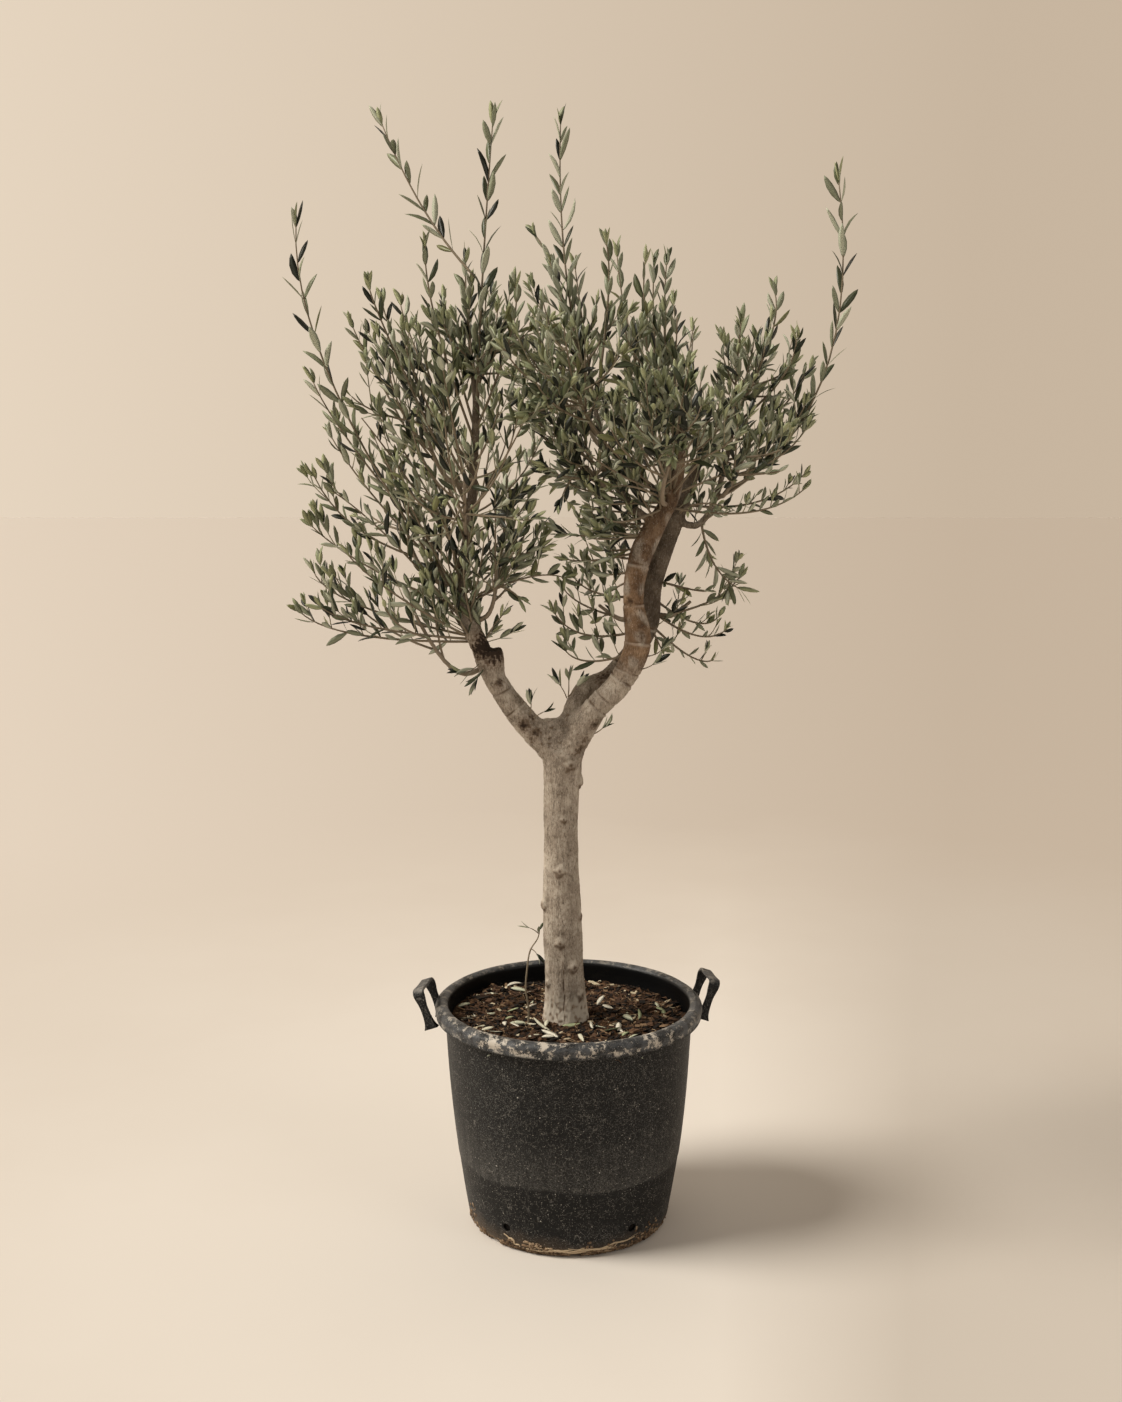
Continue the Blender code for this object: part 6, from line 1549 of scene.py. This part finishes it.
def deal_greens(lots, youths, draw, core_shade=0.0):
    """Upper and under materials for each leaf, from its spray's lot, a little of its own, and its
    youth: a young leaf is yellow green above and bright below. Deep in the crown, where the last
    argument is near 1, most leaves are dark: in part old leaves, in part painted shade."""
    lot = (lots + draw.normal(0, 0.16, len(lots))) % 1.0
    upper = np.searchsorted(GREEN_SHARES, lot)
    young = youths + draw.normal(0, 0.18, len(lots)) > 0.80
    upper = np.where(young, 5, np.minimum(upper, 4))
    # Painted shade, in part: near the crown's cores leaves are more often dealt the darkest green.
    upper = np.where(draw.uniform(0, 1, len(lots)) < 0.50 * core_shade, 0, upper)
    under = len(UPPER_GREENS) + np.where(young, 2, (draw.uniform(0, 1, len(lots)) < 0.45).astype(int))
    return upper, under


def twig_piece(name, twigs):
    """Twigs as tubes: five sides for those over 1.6 mm across, three for the rest."""
    heap = Heap()
    for rows in twigs:
        thick = rows[0, 3] > 0.0016
        heap.add(*tube(rows[:, :3], rows[:, 3], 5 if thick else 3), kind=0 if rows[0, 3] > 0.0028 else 1 + (len(rows) < 6))
    return heap.make(name, twig_finishes)


for number, section in enumerate(("left", "centre", "right")):
    names = [n for n in MASSES if n.startswith("foliage_" + section)]
    growth = Growth()
    for name in names:
        grow_mass(growth, list(MASSES).index(name), name)
    roots, ways, faces, lengths, lots, youths = growth.gather()
    draw = np.random.default_rng(60 + number)
    # How near each leaf is to a core of the crown, for the painted shade there.
    core_shade = np.exp(-np.min([(((roots - core) / CORE_SIZE) ** 2).sum(axis=1) for core in CORES], axis=0))
    upper, under = deal_greens(lots, youths, draw, core_shade)
    leaves = leaf_piece(f"leaves_{section}", (roots, ways, faces, lengths), leaf_finishes, upper, under, draw)
    settle(leaves, "foliage", *names)
    settle(twig_piece(f"twigs_{section}", growth.twigs), "bark", *names)
    print(section, "leaves", len(roots), "twigs", len(growth.twigs))

# %% [markdown]
# ## The sucker and the small sprouts
# One thin shoot comes up out of the compost beside the trunk, crooked and almost bare, and a few
# tufts sprout straight from the bark at the fork, as olives do wherever light reaches old wood.
# They are drawn as named lines, because each stands alone and shows against the background.

# %% Sucker and sprouts
SUCKER = ((-0.076, -0.034, 0.380, 0.0022), (-0.075, -0.036, 0.420, 0.0020), (-0.080, -0.038, 0.457, 0.0018),
          (-0.078, -0.040, 0.492, 0.0017), (-0.072, -0.041, 0.532, 0.0015), (-0.058, -0.042, 0.556, 0.0012),
          (-0.054, -0.042, 0.574, 0.0010))
SUCKER_SIDES = (((-0.056, -0.042, 0.566), (-0.064, -0.043, 0.574), (-0.072, -0.044, 0.577)),
                ((-0.072, -0.041, 0.536), (-0.064, -0.044, 0.536), (-0.060, -0.046, 0.528)))
SPROUTS = (((-0.072, -0.026, 0.972), (-0.068, -0.032, 0.985), (-0.069, -0.034, 0.998)),
           ((-0.064, -0.026, 0.966), (-0.054, -0.032, 0.974), (-0.046, -0.034, 0.978)),
           ((-0.004, -0.004, 0.998), (-0.010, -0.010, 1.015), (-0.018, -0.012, 1.026)),
           ((-0.002, -0.004, 1.000), (0.000, -0.012, 1.020), (-0.001, -0.014, 1.036)),
           ((0.000, -0.006, 1.002), (0.010, -0.012, 1.016), (0.018, -0.014, 1.026)),
           ((0.046, -0.032, 0.938), (0.056, -0.040, 0.944), (0.062, -0.042, 0.952)),
           ((-0.150, -0.018, 1.080), (-0.175, -0.030, 1.045), (-0.192, -0.034, 1.052)),
           ((-0.140, -0.020, 1.066), (-0.164, -0.034, 1.050), (-0.166, -0.038, 1.038)),
           ((0.120, -0.040, 1.056), (0.140, -0.050, 1.058), (0.152, -0.054, 1.070)),
           ((0.140, -0.040, 1.080), (0.158, -0.048, 1.084), (0.168, -0.050, 1.096)))

extra = Growth()
draw = np.random.default_rng(71)
sucker_line = smooth_line(SUCKER, 5)
extra.twigs.append(sucker_line)
for low, bend_at, high in SUCKER_SIDES:
    side_shoot = bend_line(np.array(low), np.array(bend_at), np.array(high), 5)
    extra.twigs.append(np.column_stack([side_shoot, np.linspace(0.0012, 0.0008, 6)]))
    extra.set_leaves(side_shoot, draw, 0.80, 0.030, 0.036, 24.0, 0.1, 0.0)
extra.set_leaves(sucker_line[:, :3], draw, 0.93, 0.030, 0.022, 40.0, 0.5, 0.3)
sucker_roots, sucker_ways, sucker_faces, sucker_lengths, lots, youths = extra.gather()
upper, under = deal_greens(lots, youths * 0.5, draw)
sucker_leaves = leaf_piece("sucker_leaves", (sucker_roots, sucker_ways, sucker_faces, sucker_lengths),
                           leaf_finishes, upper, under, draw)
settle(sucker_leaves, "foliage", "basal_shoot")
settle(twig_piece("sucker_twigs", extra.twigs), "bark", "basal_shoot")

tufts = Growth()
draw = np.random.default_rng(72)
for low, bend_at, high in SPROUTS:
    shoot = bend_line(np.array(low), np.array(bend_at), np.array(high), 5)
    tufts.twigs.append(np.column_stack([shoot, np.linspace(0.0014, 0.0009, 6)]))
    tufts.set_leaves(shoot, draw, 0.45, 0.016, 0.043, 34.0, 0.3, 0.2)
tuft_roots, tuft_ways, tuft_faces, tuft_lengths, lots, youths = tufts.gather()
upper, under = deal_greens(lots, youths * 0.6, draw)
tuft_leaves = leaf_piece("tuft_leaves", (tuft_roots, tuft_ways, tuft_faces, tuft_lengths), leaf_finishes,
                         upper, under, draw)
settle(tuft_leaves, "foliage")
settle(twig_piece("tuft_twigs", tufts.twigs), "bark")

# %% [markdown]
# ## Fallen leaves
# Olive leaves dry to a pale straw or a chalky green and curl. They lie on the compost at every
# angle, spread evenly over it. The same blade function makes them, with the way they point
# laid nearly flat and the upper side up or down at random.

# %% Fallen leaves
FALLEN_COUNT, FALLEN_LENGTH = 56, 0.040
FALLEN_COLOURS = ((0.520, 0.540, 0.410), (0.620, 0.600, 0.470), (0.330, 0.370, 0.220), (0.680, 0.650, 0.550))


def fallen_leaves():
    """Dry leaves on the compost: nearly level, either side up."""
    draw = np.random.default_rng(81)
    spots = scatter(FALLEN_COUNT, draw, 0.200)
    turn = draw.uniform(0, math.tau, FALLEN_COUNT)
    ways = unit(np.column_stack([np.cos(turn), np.sin(turn), draw.normal(0.08, 0.12, FALLEN_COUNT)]))
    faces = np.array([0.0, 0.0, 1.0]) + draw.normal(0, 0.30, (FALLEN_COUNT, 3))
    faces = unit(faces - ways * (faces * ways).sum(axis=1)[:, None])
    faces *= np.where(draw.uniform(0, 1, FALLEN_COUNT) < 0.5, 1.0, -1.0)[:, None]
    roots = np.column_stack([spots, soil_height(spots) + 0.0045])
    lengths = FALLEN_LENGTH * draw.uniform(0.55, 1.15, FALLEN_COUNT)
    kinds = draw.integers(0, len(FALLEN_COLOURS), FALLEN_COUNT)
    piece = leaf_piece("fallen_leaves", (roots, ways, faces, lengths), plain_colours("dry_leaf", FALLEN_COLOURS, 0.7),
                       kinds, kinds, draw)
    settle(piece, "foliage")


fallen_leaves()

# %% [markdown]
# ## Dried mud and roots at the foot
# Where the tub has stood in a bed, mud has dried round its foot in a broken crust, and fine roots
# that came out of the drains lie flattened in it. The crust is a heap of flat lumps pressed on
# the wall, thick in some places and missing in others, and the roots are thin wandering tubes.

# %% Mud crust and roots
MUD_COLOURS = ((0.105, 0.066, 0.038), (0.190, 0.125, 0.076), (0.300, 0.215, 0.140))
MUD_COUNT = 1500
# Roots: angle where each starts, angle it runs to, height at its start and end, thickness.
ROOT_RUNS = ((-114, -66, 0.011, 0.016, 0.0022), (-108, -84, 0.018, 0.013, 0.0013), (-92, -52, 0.013, 0.024, 0.0018),
             (-74, -50, 0.010, 0.028, 0.0010), (-90, -66, 0.020, 0.014, 0.0009), (-128, -118, 0.030, 0.012, 0.0016),
             (20, 48, 0.010, 0.020, 0.0012), (120, 150, 0.014, 0.012, 0.0011), (84, 96, 0.022, 0.010, 0.0010))


def on_wall(angles, heights, out=0.0):
    """Places on the tub's wall by angle and height, `out` metres proud of it."""
    low = np.minimum(heights, BASE_ROUND)
    corner = float(wall_radius(BASE_ROUND)) - BASE_ROUND
    rounded = corner + np.sqrt(np.maximum(BASE_ROUND ** 2 - (BASE_ROUND - low) ** 2, 0.0))
    r = np.where(heights < BASE_ROUND, rounded, wall_radius(heights)) + out - 0.0008
    return np.column_stack([r * np.cos(angles), r * np.sin(angles), heights])


def mud_crust():
    """Flat lumps on the foot, kept where slow noise round the tub is high."""
    draw = np.random.default_rng(91)
    angles = draw.uniform(0, math.tau, MUD_COUNT * 3)
    heights = 0.0035 + 0.050 * draw.uniform(0, 1, MUD_COUNT * 3) ** 3.0
    around = np.column_stack([np.cos(angles), np.sin(angles)])
    crusted = np.exp(-((angles - math.radians(201)) / 0.16) ** 2)
    thick = 0.5 * ripple(around, 1.1, 92) + 2.6 * crusted
    keep = thick - heights * 42.0 + 0.5 * ripple(around, 0.16, 93) > -0.55
    angles, heights = angles[keep][:MUD_COUNT], heights[keep][:MUD_COUNT]
    count = len(angles)
    middle = on_wall(angles, heights)
    out = np.column_stack([np.cos(angles), np.sin(angles), np.zeros(count)])
    across = np.column_stack([-np.sin(angles), np.cos(angles), np.zeros(count)])
    frames = np.stack([across, np.cross(out, across), out], axis=1)
    size = np.column_stack([draw.lognormal(-5.9, 0.4, count), draw.lognormal(-6.2, 0.4, count),
                            draw.uniform(0.0006, 0.0024, count)])
    size = np.minimum(size, 0.006)
    size[:, 1] = np.minimum(size[:, 1], heights * 0.6)
    corners = BOX_CORNERS * (1.0 + draw.uniform(-0.5, 0.2, (count, 8, 3)))
    points = middle[:, None] + np.einsum("nck,nkj->ncj", corners * size[:, None], frames)
    faces = (np.arange(count)[:, None, None] * 8 + BOX_FACES).reshape(-1, 4)
    kinds = np.repeat(draw.integers(0, len(MUD_COLOURS), count), 6)
    piece = make_piece("mud_crust", points.reshape(-1, 3), [faces], plain_colours("dry_mud", MUD_COLOURS, 0.95), kinds)
    settle(piece, "compost")


def drain_roots():
    """Roots along the foot: angle and height run from start to end with a slow wander."""
    draw = np.random.default_rng(94)
    heap = Heap()
    for start, end, low, high, thick in ROOT_RUNS:
        t = np.linspace(0.0, 1.0, 26)
        angles = np.radians(start + (end - start) * t) + 0.012 * np.sin(t * 19.0 + start)
        heights = low + (high - low) * t + 0.0030 * np.sin(t * 14.0 + end) * np.sin(math.pi * t)
        line = on_wall(angles, np.maximum(heights, 0.004), 0.0006)
        radii = thick * (0.55 + 0.45 * np.sin(math.pi * np.clip(t, 0.08, 0.92))) * draw.uniform(0.85, 1.15, 26)
        heap.add(*tube(line, radii, 6))
    piece = heap.make("drain_roots", plain_colours("dry_root", ((0.480, 0.370, 0.245),), 0.85))
    settle(piece, "compost")


mud_crust()
drain_roots()
